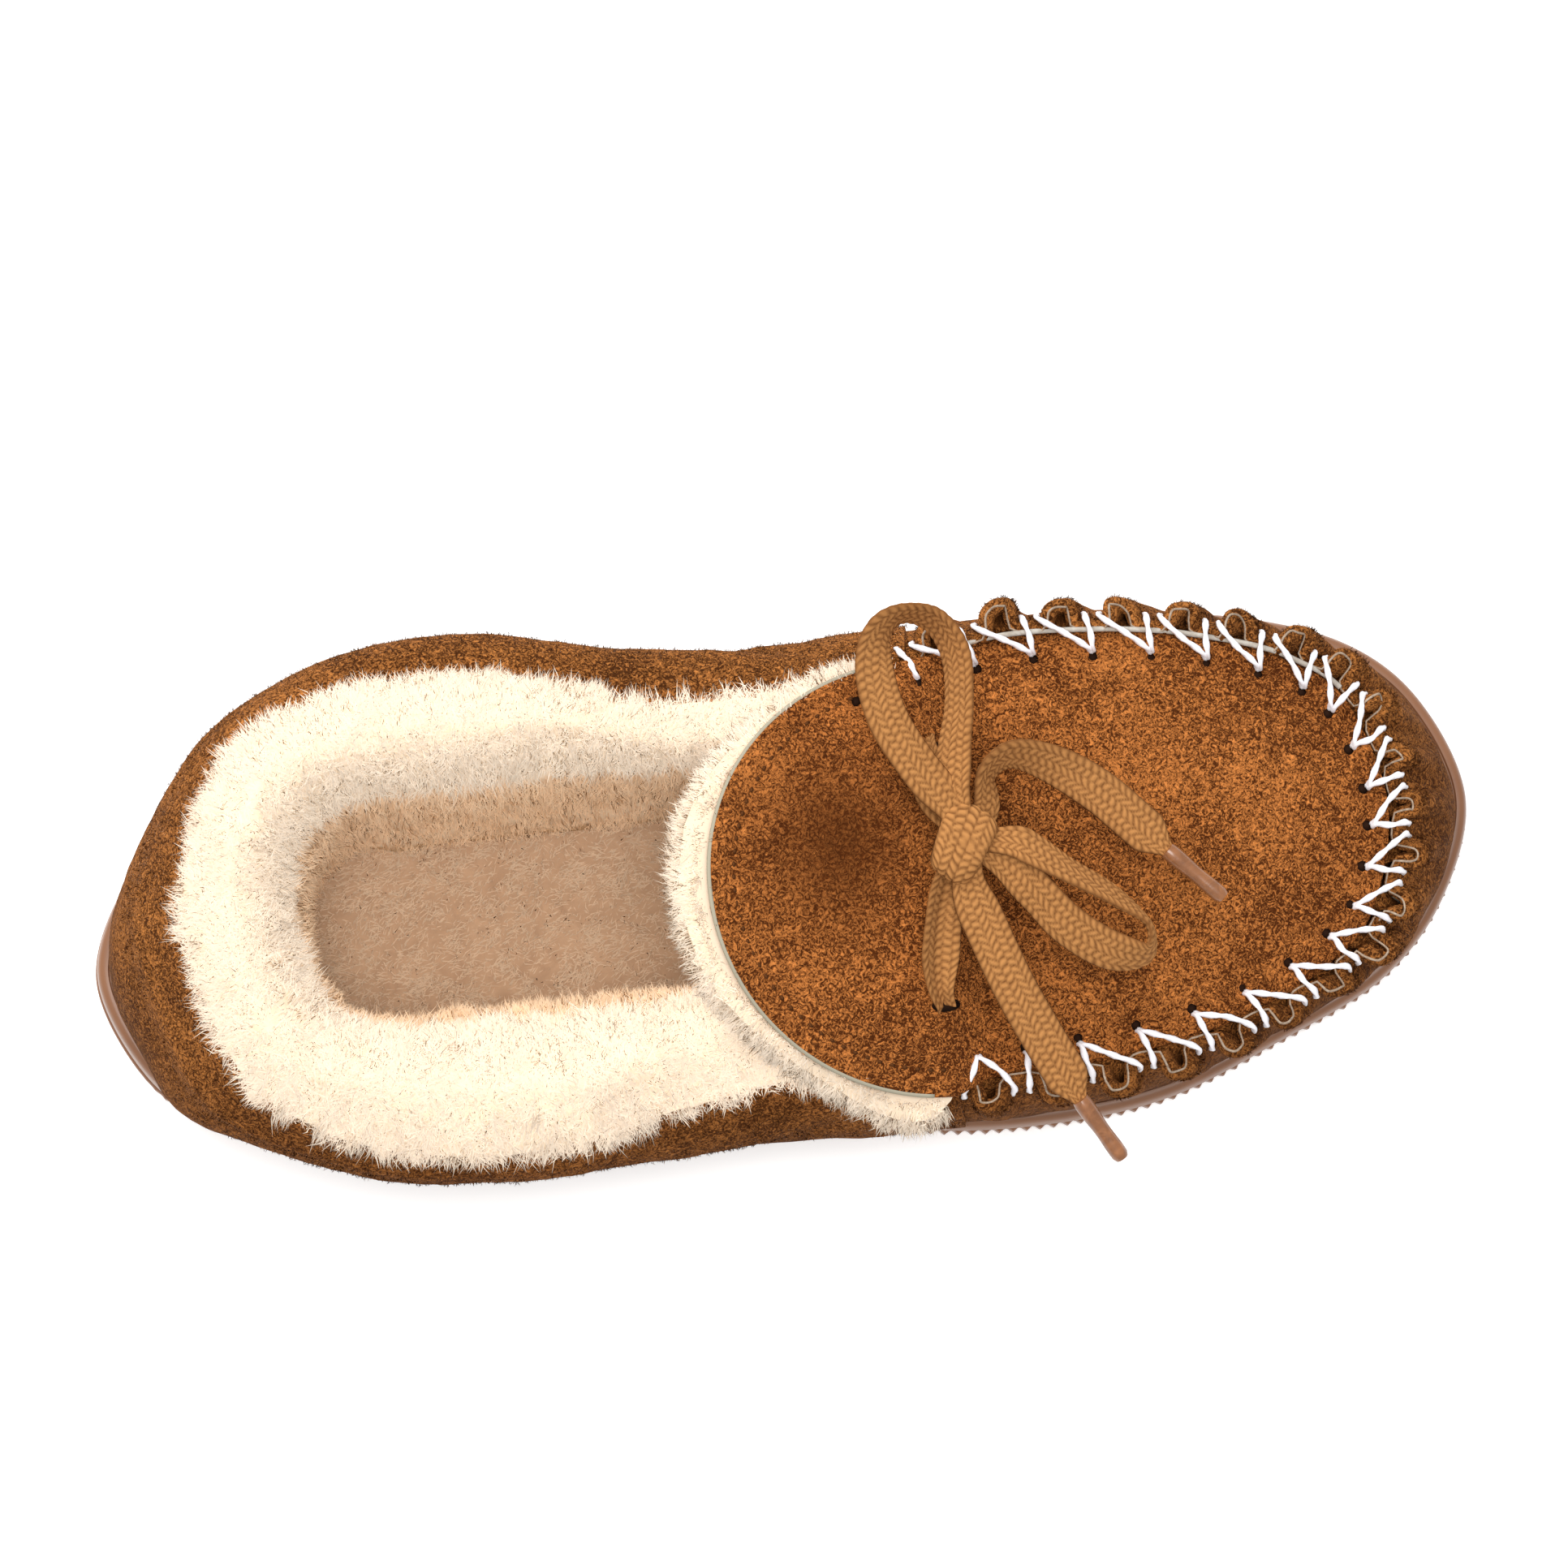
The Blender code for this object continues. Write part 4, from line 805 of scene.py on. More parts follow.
@dataclass(frozen=True)
class Suede(Finish):
    """Brushed suede with a nap in patches, and painted shade where its mesh is marked."""

    light: tuple[float, float, float] = (0.5, 0.25, 0.08)
    depth: float = 0.0007

    def material(self) -> bpy.types.Material:
        """Returns: the material, coloured and raised by the nap group."""
        made, nodes, shader = self.start()
        where = nodes.add("TexCoord")
        nap = nodes.add("Group", node_tree=bpy.data.node_groups["nap"])
        nap.inputs["Dark"].default_value = (*self.colour, 1.0)
        nap.inputs["Light"].default_value = (*self.light, 1.0)
        nodes.join(where.outputs["Object"], nap.inputs["Vector"])
        nodes.join(nap.outputs["Color"], shader.inputs["Base Color"])
        bump = nodes.add("Bump", Strength=0.9, Distance=self.depth)
        nodes.join(nap.outputs["Height"], bump.inputs["Height"])
        nodes.join(bump.outputs["Normal"], shader.inputs["Normal"])
        return made


@dataclass(frozen=True)
class Wool(Finish):
    """Sheepskin wool, from its roots to its tips."""

    tip: tuple[float, float, float] = (0.95, 0.9, 0.8)

    def material(self) -> bpy.types.Material:
        """Returns: the material, coloured by the wool group."""
        made, nodes, shader = self.start()
        wool = nodes.add("Group", node_tree=bpy.data.node_groups["wool"])
        wool.inputs["Root"].default_value = (*self.colour, 1.0)
        wool.inputs["Tip"].default_value = (*self.tip, 1.0)
        nodes.join(wool.outputs["Color"], shader.inputs["Base Color"])
        return made


@dataclass(frozen=True)
class Weave(Finish):
    """Flat braid: yarns of slightly different colours, with painted shade between the stitches."""

    groove_shade: tuple[float, float, float] = (0.2, 0.09, 0.03)

    def material(self) -> bpy.types.Material:
        """Returns: the material, painted darker as shade where the mark called raised is low."""
        made, nodes, shader = self.start()
        raised = nodes.add("Attribute", attribute_name="raised")
        noise = nodes.add("TexNoise", Scale=900.0, Detail=2.0)
        where = nodes.add("TexCoord")
        nodes.join(where.outputs["Object"], noise.inputs["Vector"])
        worn = nodes.math("MULTIPLY", noise.outputs["Fac"], 0.5)
        share = nodes.math("ADD", raised.outputs["Fac"], worn)
        reach = nodes.add("MapRange", From_Min=0.2, From_Max=1.15)
        nodes.join(share, reach.inputs["Value"])
        mix = nodes.add("Mix", data_type="RGBA")
        nodes.join(reach.outputs["Result"], mix.inputs["Factor"])
        mix.inputs[6].default_value = (*self.groove_shade, 1.0)
        mix.inputs[7].default_value = (*self.colour, 1.0)
        nodes.join(mix.outputs[2], shader.inputs["Base Color"])
        bump = nodes.add("Bump", Strength=0.5, Distance=0.0002)
        nodes.join(noise.outputs["Fac"], bump.inputs["Height"])
        nodes.join(bump.outputs["Normal"], shader.inputs["Normal"])
        return made


@dataclass(frozen=True)
class Streaked(Finish):
    """Rubber or horn-like plastic with soft darker streaks."""

    dark: tuple[float, float, float] = (0.1, 0.04, 0.02)
    scale: float = 120.0
    bump: float = 0.0

    def material(self) -> bpy.types.Material:
        """Returns: the material, mottled by one noise."""
        made, nodes, shader = self.start()
        where = nodes.add("TexCoord")
        noise = nodes.add("TexNoise", Scale=self.scale, Detail=4.0, Distortion=1.2)
        nodes.join(where.outputs["Object"], noise.inputs["Vector"])
        mix = nodes.add("Mix", data_type="RGBA")
        nodes.join(noise.outputs["Fac"], mix.inputs["Factor"])
        mix.inputs[6].default_value = (*self.dark, 1.0)
        mix.inputs[7].default_value = (*self.colour, 1.0)
        nodes.join(mix.outputs[2], shader.inputs["Base Color"])
        bump = nodes.add("Bump", Strength=self.bump, Distance=0.0002)
        nodes.join(noise.outputs["Fac"], bump.inputs["Height"])
        nodes.join(bump.outputs["Normal"], shader.inputs["Normal"])
        return made


class Palette:
    """All the finishes of the shoe."""

    def __init__(self) -> None:
        """Builds the shared groups, then every material."""
        nap_group()
        wool_group()
        self.suede = Suede("suede", (0.078, 0.023, 0.004), 0.95, 0.0, light=(0.62, 0.232, 0.057),
                           depth=0.0020).material()
        self.plug = Suede("plug_suede_nap", (0.088, 0.022, 0.0035), 0.95, 0.0, light=(0.73, 0.252, 0.060),
                          depth=0.0016).material()
        # Root colours are painted shade between the strands.
        self.wool = Wool("wool", (0.80, 0.645, 0.47), 1.0, tip=(0.90, 0.775, 0.64)).material()
        # The inner wall's wool: the same sheepskin, deeper and warmer as painted shade.
        self.shaded_inner_wool = Wool("shaded_inner_wool", (0.80, 0.52, 0.30), 1.0, tip=(0.90, 0.66, 0.45)).material()
        self.sock = Wool("sock", (0.50, 0.34, 0.215), 1.0, tip=(0.68, 0.50, 0.345)).material()
        self.backing = Finish("wool_base", (0.88, 0.74, 0.57), 1.0).material()
        self.sock_base = Streaked("sock_base", (0.60, 0.40, 0.255), 1.0, dark=(0.36, 0.22, 0.135),
                                  scale=220.0, bump=0.8).material()
        self.thread = Finish("thread", (0.93, 0.91, 0.95), 0.55, 0.2).material()
        self.cut = Finish("cut_edge", (0.36, 0.33, 0.25), 0.9).material()
        self.piping = Streaked("piping", (0.70, 0.69, 0.64), 0.9, dark=(0.25, 0.19, 0.13),
                               scale=500.0).material()
        self.overlock = Streaked("overlock", (0.62, 0.50, 0.38), 0.9, dark=(0.08, 0.03, 0.01),
                                 scale=1300.0).material()
        # Near-black painted shade for the insides of the seam holes and lace slots.
        self.dark = Finish("hole", (0.020, 0.008, 0.004), 0.9).material()
        self.slit = Finish("stitch_hole", (0.10, 0.035, 0.010), 0.9).material()
        self.weave = Weave("braid", (0.47, 0.215, 0.070), 0.9, 0.0, groove_shade=(0.16, 0.062, 0.018)).material()
        self.rubber = Streaked("moulded_rubber", (0.30, 0.135, 0.062), 0.42, coat=0.15,
                               dark=(0.20, 0.085, 0.040), scale=60.0, bump=0.1).material()
        self.aglet = Streaked("aglet", (0.42, 0.17, 0.065), 0.3, coat=0.4, dark=(0.10, 0.035, 0.012),
                              scale=420.0, bump=0.3).material()


@dataclass(frozen=True)
class Crease:
    """One soft fold of the upper.

    Place and level say where its middle is, run and width its half-sizes in millimetres, turn its
    heading in degrees from level, and depth its height in millimetres.
    """

    place: float
    level: float
    run: float
    width: float
    turn: float
    depth: float
    kind: Fold


CREASES = (
    Crease(1.6, 0.80, 34.0, 2.6, 4.0, 0.9, Fold.RIDGE),
    Crease(1.7, 0.66, 36.0, 3.2, 5.0, 0.7, Fold.TROUGH),
    Crease(0.3, 0.55, 30.0, 4.0, 2.0, 0.6, Fold.TROUGH),
    Crease(3.4, 0.35, 26.0, 4.0, -8.0, 0.8, Fold.TROUGH),
    Crease(5.9, 0.62, 18.0, 3.0, 38.0, 0.9, Fold.TROUGH),
    Crease(6.5, 0.50, 16.0, 2.6, 52.0, 0.7, Fold.RIDGE),
    Crease(LOOP - 5.8, 0.62, 18.0, 3.0, -36.0, 0.9, Fold.TROUGH),
    Crease(LOOP - 6.4, 0.48, 15.0, 2.8, -50.0, 0.8, Fold.RIDGE),
    Crease(LOOP - 3.2, 0.40, 26.0, 4.0, 9.0, 0.8, Fold.TROUGH),
    Crease(LOOP - 1.4, 0.70, 28.0, 3.4, -5.0, 0.7, Fold.TROUGH),
    Crease(8.6, 0.22, 20.0, 3.0, 14.0, 0.7, Fold.TROUGH),
    Crease(10.2, 0.26, 18.0, 3.0, -10.0, 0.6, Fold.RIDGE),
    Crease(LOOP - 8.8, 0.24, 20.0, 3.0, -12.0, 0.7, Fold.TROUGH),
    Crease(LOOP - 10.4, 0.28, 16.0, 3.0, 9.0, 0.6, Fold.TROUGH),
)


@dataclass
class Upper:
    """Vamp with its puckers and the quarters over it."""

    last: Last
    per_pucker: int = 26
    rows: int = 34
    quarter_columns: int = 260
    vamp_wall: float = 0.0014
    rim_wall: float = 0.0026
    quarter_step: float = 0.0009
    pucker_depth: float = 0.0046
    valley_share: float = 0.19
    bulge: float = 0.070

    def crease_height(self, places: np.ndarray, levels: np.ndarray, around: float) -> np.ndarray:
        """Sum of the creases: each is a bell across its width and along its run.

        Args:
            places: Rows of the loop.
            levels: Shares of the wall's height.
            around: Length of one row of the loop in metres.

        Returns:
            Heights above the plain wall.
        """
        total = np.zeros(places.shape)
        for crease in CREASES:
            along = (np.mod(places - crease.place + LOOP / 2, LOOP) - LOOP / 2) * around
            up = (levels - crease.level) * 0.048
            turn = math.radians(crease.turn)
            run = along * math.cos(turn) + up * math.sin(turn)
            side = up * math.cos(turn) - along * math.sin(turn)
            bell = np.exp(-(run / (crease.run * MM)) ** 2 - (side / (crease.width * MM)) ** 2)
            total += crease.kind.value * crease.depth * MM * bell
        return total

    def roughen(self, points: np.ndarray, toward: np.ndarray, places: np.ndarray,
                levels: np.ndarray) -> np.ndarray:
        """Adds the creases and the leather's unevenness along the normals.

        Args:
            points: Grid of the wall.
            toward: Outward vectors.
            places: Rows of the loop for each point.
            levels: Shares of the height for each point.

        Returns:
            The moved grid.
        """
        normals = grid_normals(points, toward)
        height = self.crease_height(places, levels, 0.022)
        height += (0.35 * MM * lattice_noise(points, 9 * MM, 3)
                   + 0.13 * MM * lattice_noise(points, 2.2 * MM, 4))
        fade = smooth_step(levels, 0.0, 0.08)
        return points + normals * (height * fade)[..., None]

    def vamp_grid(self) -> tuple[np.ndarray, np.ndarray, np.ndarray, np.ndarray]:
        """Outer face of the vamp.

        Each pucker is a loop of leather: its depth grows as sin(pi f)^0.75 over its share f of the
        pitch, and its walls swing apart by sin(2 pi f), which narrows its neck.

        Returns:
            Points, outward vectors, places and levels, each as a grid.
        """
        last = self.last
        valleys = last.valleys()
        spread = np.random.default_rng(11)
        numbers = np.arange(-0.7, last.puckers + 0.7, 1.0 / self.per_pucker)
        level = np.linspace(0.0, 1.0, self.rows) ** 0.85
        number, levels = np.meshgrid(numbers, level)
        which = np.clip(np.floor(number), 0, last.puckers - 1).astype(int)
        share = np.clip((number - which - self.valley_share) / (1.0 - 2.0 * self.valley_share), 0.0, 1.0)
        fade = np.clip((levels - 0.40) / 0.60, 0.0, 1.0) ** spread.uniform(1.3, 1.9, last.puckers)[which]
        swing = self.bulge * np.sin(2.0 * math.pi * share) * fade
        lean = spread.uniform(-0.10, 0.10, last.puckers)[which] * np.sin(math.pi * share) ** 2 * fade
        places = np.interp(number - swing + lean, np.arange(-1, last.puckers + 2), valleys)
        flat = places.ravel()
        wall = last.bare_wall(flat, levels.ravel()).reshape(places.shape + (3,))
        out = last.outward(last.rim_line, flat).reshape(places.shape + (3,))
        size = spread.uniform(0.85, 1.12, last.puckers)[which]
        fold = self.pucker_depth * size * np.sin(math.pi * share) ** 0.75 * fade
        points = wall + out * fold[..., None]
        uneven = spread.uniform(0.2, 1.4, last.puckers)[which]
        points[..., 2] += 0.0012 * fold / self.pucker_depth * uneven
        return points, out, places, levels

    def quarter_grid(self) -> tuple[np.ndarray, np.ndarray, np.ndarray, np.ndarray]:
        """Outer face of the quarters, from the inner side round the heel to the outer side.

        Returns:
            Points, outward vectors, places and levels, each as a grid.
        """
        last = self.last
        side = last.even_places(last.rim_line, self.quarter_columns // 2, 0.0, last.throat)
        line = np.concatenate([LOOP - side[:0:-1], LOOP + side])
        places, levels = np.meshgrid(line, np.linspace(0.0, 1.0, self.rows))
        wrapped = np.mod(places, LOOP).ravel()
        wall = last.bare_wall(wrapped, levels.ravel()).reshape(places.shape + (3,))
        out = last.outward(last.belly_line, wrapped).reshape(places.shape + (3,))
        step = self.quarter_step * smooth_step(levels, 0.0, 0.12)
        return wall + grid_normals(wall, out) * step[..., None], out, places, levels

    def build(self, palette: Palette) -> tuple[np.ndarray, np.ndarray, np.ndarray, np.ndarray]:
        """Makes the upper and its overlocked edge.

        Args:
            palette: The finishes.

        Returns:
            The grid of the vamp's outer face and its outward vectors, then the quarters'.
        """
        vamp, vamp_out, vamp_places, vamp_levels = self.vamp_grid()
        vamp = self.roughen(vamp, vamp_out, vamp_places, vamp_levels)
        quarter, quarter_out, places, levels = self.quarter_grid()
        quarter = self.roughen(quarter, quarter_out, places, levels)
        depth = self.vamp_wall + (self.rim_wall - self.vamp_wall) * smooth_step(vamp_levels, 0.5, 0.9)
        walls = [shell(vamp, depth[..., None], vamp_out, Edge.TOP)[:2],
                 shell(quarter, self.last.wall + self.quarter_step * 0.6, quarter_out, Edge.TOP)[:2]]
        points, faces = joined(walls)
        # Painted shade: the lower wall and the outer (-y) side are darkened where they turn from the
        # light.
        low = 0.50 * (1.0 - smooth_step(points[:, 2], 18 * MM, 52 * MM))
        shaded = np.clip(low + 0.35 * smooth_step(-points[:, 1], 10 * MM, 46 * MM), 0.0, 0.8)
        mesh_piece("suede_upper", points, faces, palette.suede, "golden_suede", ("upper",),
                   marks={"painted_shade": shaded}, sharp=50.0)
        normals = grid_normals(vamp, vamp_out)[-1]
        ahead = unit(vamp[-1] - vamp[-2])
        path = vamp[-1] - normals * self.rim_wall * 0.58 + ahead * self.rim_wall * 0.47
        mesh_piece("pucker_overlock", *tube(path, 0.00022, 6), palette.overlock, "golden_suede")
        self.pucker_floor(vamp[-1] - normals * self.rim_wall * 0.9, vamp_places[-1], palette)
        return vamp, vamp_out, quarter, quarter_out

    def pucker_floor(self, inside: np.ndarray, places: np.ndarray, palette: Palette) -> None:
        """Leather inside the puckers: it sinks from the plug's edge to the bottom of each loop.

        Args:
            inside: Inner edge of the vamp's top.
            places: Rows of the loop for its points.
            palette: The finishes.
        """
        last = self.last
        edge = last.rim_line(places) - last.outward(last.rim_line, places) * (last.wall + 0.5 * MM)
        share = np.linspace(0.0, 1.0, 5)[:, None, None]
        floor = edge * (1.0 - share) + inside * share
        floor[..., 2] -= (1.1 + 2.6 * share[..., 0] ** 0.7) * MM
        # Painted shade that deepens from the plug's edge to the bottom of each loop.
        shaded = np.tile(0.95 * smooth_step(share[:, :, 0], 0.3, 0.8), (1, len(places)))
        mesh_piece("pucker_floor", floor.reshape(-1, 3), [grid_faces(5, len(places))], palette.suede,
                   "golden_suede", closed=False, marks={"painted_shade": shaded.ravel()})


@dataclass
class Plug:
    """Apron over the toes and the tongue, with its holes, stitches and cut edge."""

    last: Last
    turns: int = 56
    seams: int = 150
    across: int = 64
    wall: float = 0.002
    hole_inset: float = 0.0066
    stitch_inset: float = 0.0040
    stitch_pitch: float = 0.0023

    def holes(self) -> np.ndarray:
        """Returns: centres of the seam's holes on the plug, opposite the valleys and one beyond."""
        last = self.last
        numbers = np.arange(0.0, last.puckers + 2.0)
        numbers[:2] += (0.33, 0.13)
        places = np.interp(numbers, np.arange(-1, last.puckers + 2), last.valleys())
        flat = last.rim_line(places) - last.outward(last.rim_line, places) * self.hole_inset
        return last.on_plug(flat)

    def stitches(self) -> tuple[np.ndarray, np.ndarray]:
        """Returns: centres and headings of the row of stitch holes round the tongue."""
        last = self.last
        outer, inner = last.plug_edges(self.turns, 20)
        edge = np.vstack([outer[self.turns - 1:0:-1], inner[:self.turns]])
        middle = np.array((last.throat_x() + 0.004, last.tongue_sideways))
        path = edge + unit(middle - edge) * self.stitch_inset
        run = np.concatenate([[0.0], np.cumsum(np.linalg.norm(np.diff(path, axis=0), axis=1))])
        spots = np.arange(0.003, run[-1] - 0.003, self.stitch_pitch)
        flat = np.column_stack([np.interp(spots, run, path[:, k]) for k in (0, 1)])
        ahead = unit(np.gradient(flat, axis=0))
        return flat, ahead

    def build(self, palette: Palette) -> np.ndarray:
        """Makes the plug, its holes and its edge lines.

        The face is the plug's height over a ruled plan, lowered by a bell at each hole and along
        the row of stitches.

        Args:
            palette: The finishes.

        Returns:
            Grid of its upper face, rows across and columns from tongue to toe.
        """
        last = self.last
        outer, inner = last.plug_edges(self.turns, self.seams)
        share = 0.5 - 0.5 * np.cos(np.linspace(0.0, math.pi, self.across))
        share = 0.5 * share + 0.5 * np.linspace(0.0, 1.0, self.across)
        plan = outer[None] * (1.0 - share[:, None, None]) + inner[None] * share[:, None, None]
        height = last.plug_height(plan.reshape(-1, 2)).reshape(plan.shape[:2])
        grid = np.concatenate([plan, height[..., None]], axis=-1)
        grid[..., 2] += (0.45 * MM * lattice_noise(grid, 16 * MM, 21)
                         + 0.10 * MM * lattice_noise(grid, 3 * MM, 22))
        for centre in self.holes():
            away = np.sum((plan - centre[:2]) ** 2, axis=-1)
            grid[..., 2] -= 1.3 * MM * np.exp(-away / (1.3 * MM) ** 2)
        flat, ahead = self.stitches()
        for spot in flat:
            away = np.sum((plan - spot) ** 2, axis=-1)
            grid[..., 2] -= 0.30 * MM * np.exp(-away / (1.7 * MM) ** 2)
        points, faces, _ = shell(grid, self.wall, np.array((0.0, 0.0, 1.0)), Edge.BOTH)
        # Painted shade on the tongue's dish, on the slope that turns from the light.
        dish = ((points[:, 0] - 7 * MM) / (14 * MM)) ** 2 + ((points[:, 1] - 2 * MM) / (15 * MM)) ** 2
        mesh_piece("suede_plug", points, faces, palette.plug, "plug_suede", ("plug",),
                   marks={"painted_shade": 0.80 * np.exp(-dish)}, sharp=60.0)
        # Seam holes and lace slots are dark lenses: painted shade inside the openings.
        self.spots("seam_holes", self.holes()[:, :2], None, (0.95 * MM, 0.95 * MM), -0.75 * MM,
                   palette.dark)
        self.spots("tongue_stitches", flat, ahead, (0.48 * MM, 0.32 * MM), -0.16 * MM, palette.slit)
        slots = np.array(SLOTS)
        self.spots("lace_slots", slots, np.array(((1.0, 0.0), (1.0, 0.0))), (2.6 * MM, 1.2 * MM),
                   0.12 * MM, palette.dark)
        self.edge_line(grid, palette)
        return grid

    def spots(self, name: str, flat: np.ndarray, ahead: np.ndarray | None, size: tuple[float, float],
              lift: float, finish: bpy.types.Material) -> None:
        """Shallow lens-shaped marks that lie on the plug.

        Args:
            name: Name of the piece.
            flat: Their centres on the plan.
            ahead: Their headings on the plan, or None.
            size: Half length and half width.
            lift: Height above the plain plug.
            finish: Their material.
        """
        angle = np.linspace(0.0, 2.0 * math.pi, 14, endpoint=False)
        heading = np.tile((1.0, 0.0), (len(flat), 1)) if ahead is None else ahead
        side = np.column_stack([-heading[:, 1], heading[:, 0]])
        parts = []
        for centre, front, left in zip(flat, heading, side):
            rim = (centre + front * (size[0] * np.cos(angle))[:, None]
                   + left * (size[1] * np.sin(angle))[:, None])
            plan = np.vstack([rim, centre, centre])
            points = self.last.on_plug(plan, lift)
            points[-2, 2] += 0.12 * MM
            points[-1, 2] -= 0.30 * MM
            turn = np.arange(14)
            top = np.column_stack([turn, (turn + 1) % 14, np.full(14, 14)])
            low = np.column_stack([(turn + 1) % 14, turn, np.full(14, 15)])
            parts.append((points, [top, low]))
        mesh_piece(name, *joined(parts), finish, "plug_suede")

    def edge_line(self, grid: np.ndarray, palette: Palette) -> None:
        """Pale cut edge round the tongue and piping along the seam.

        Args:
            grid: Upper face of the plug.
            palette: The finishes.
        """
        border = np.concatenate([grid[0, ::-1], grid[-1, 1:]])
        out = border - np.array((0.03, -0.002, 0.0))
        out[:, 2] = 0.0
        path = border + unit(out) * 0.35 * MM + np.array((0.0, 0.0, -0.5 * MM))
        tongue = path[self.seams + 5: -self.seams - 5]
        mesh_piece("tongue_cut_edge", *tube(tongue, 0.00045, 8), palette.cut, "plug_suede")
        places = self.last.even_places(self.last.rim_line, 200, LOOP / 2 + 1.2,
                                       LOOP - self.last.throat - 0.3)
        seam = self.last.rim_line(places) - self.last.outward(self.last.rim_line, places) * 1.7 * MM
        seam[:, 2] += 0.35 * MM + 0.45 * MM * lattice_noise(seam, 4 * MM, 8)
        mesh_piece("seam_piping", *tube(seam, 0.00050, 8), palette.piping, "plug_suede")


@dataclass
class SeamThread:
    """White laid thread that zigzags between the plug's holes and the puckers' valleys."""

    last: Last
    radius: float = 0.00064
    steps: int = 22

    def build(self, holes: np.ndarray, palette: Palette) -> None:
        """Makes the strands: each rises from a hole, bows over the edge and dips into a valley.

        Args:
            holes: Centres of the plug's holes.
            palette: The finishes.
        """
        last = self.last
        rand = np.random.default_rng(9)
        share = np.linspace(0.0, 1.0, self.steps)
        parts = []
        for number in range(last.puckers + 1):
            for hole, aside in ((number, 0.10), (number - 1, -0.15)):
                if hole < 0:
                    continue
                place = np.interp([number + aside], np.arange(-1, last.puckers + 2), last.valleys())
                out = last.outward(last.rim_line, place)[0]
                valley = last.rim_line(place)[0] + out * 0.3 * MM + np.array((0.0, 0.0, 1.6 * MM))
                apex = holes[hole] + out * 0.9 * MM
                aside = unit(np.cross(valley - apex, np.array((0.0, 0.0, 1.0))))
                across = aside * rand.normal(0.0, 0.25 * MM)
                stops = np.array((
                    apex + np.array((0.0, 0.0, -1.0 * MM)),
                    apex + (valley - apex) * 0.16 + np.array((0.0, 0.0, 0.75 * MM)),
                    apex + (valley - apex) * 0.55 + across + np.array((0.0, 0.0, 1.0 * MM)),
                    valley,
                    valley + out * 1.0 * MM + np.array((0.0, 0.0, -2.6 * MM))))
                path = spline(stops, share * 4.0)
                parts.append(tube(path, self.radius, 10, 2, 2.0 * math.pi / (3.6 * MM)))
        mesh_piece("zigzag_thread", *joined(parts), palette.thread, "plug_suede")


class Patch:
    """A piece of surface that wool grows on."""

    def __init__(self, grid: np.ndarray, normals: np.ndarray, lean: np.ndarray,
                 length: np.ndarray) -> None:
        """Keeps the surface and the area of its cells.

        Args:
            grid: Points, rows by columns by 3.
            normals: Unit normals of the same shape.
            lean: Vectors that the wool leans along, of the same shape.
            length: Share of the full length at each point.
        """
        self.fields = np.concatenate([grid, normals, lean, length[..., None]], axis=-1)
        diagonals = np.cross(grid[1:, 1:] - grid[:-1, :-1], grid[1:, :-1] - grid[:-1, 1:])
        self.area = 0.5 * np.linalg.norm(diagonals, axis=-1)

    def sample(self, spread: np.random.Generator, count: int) -> np.ndarray:
        """Picks places evenly over the surface.

        Args:
            spread: The random numbers.
            count: How many.

        Returns:
            Rows of position, normal, lean and length.
        """
        chance = self.area.ravel() / self.area.sum()
        cell = spread.choice(len(chance), count, p=chance)
        i, j = np.divmod(cell, self.area.shape[1])
        u, v = spread.random((2, count, 1))
        fields = self.fields
        return ((fields[i, j] * (1 - u) + fields[i + 1, j] * u) * (1 - v)
                + (fields[i, j + 1] * (1 - u) + fields[i + 1, j + 1] * u) * v)


# How far the light on a lock of wool is turned upwards
LIT_FROM_ABOVE = 0.45


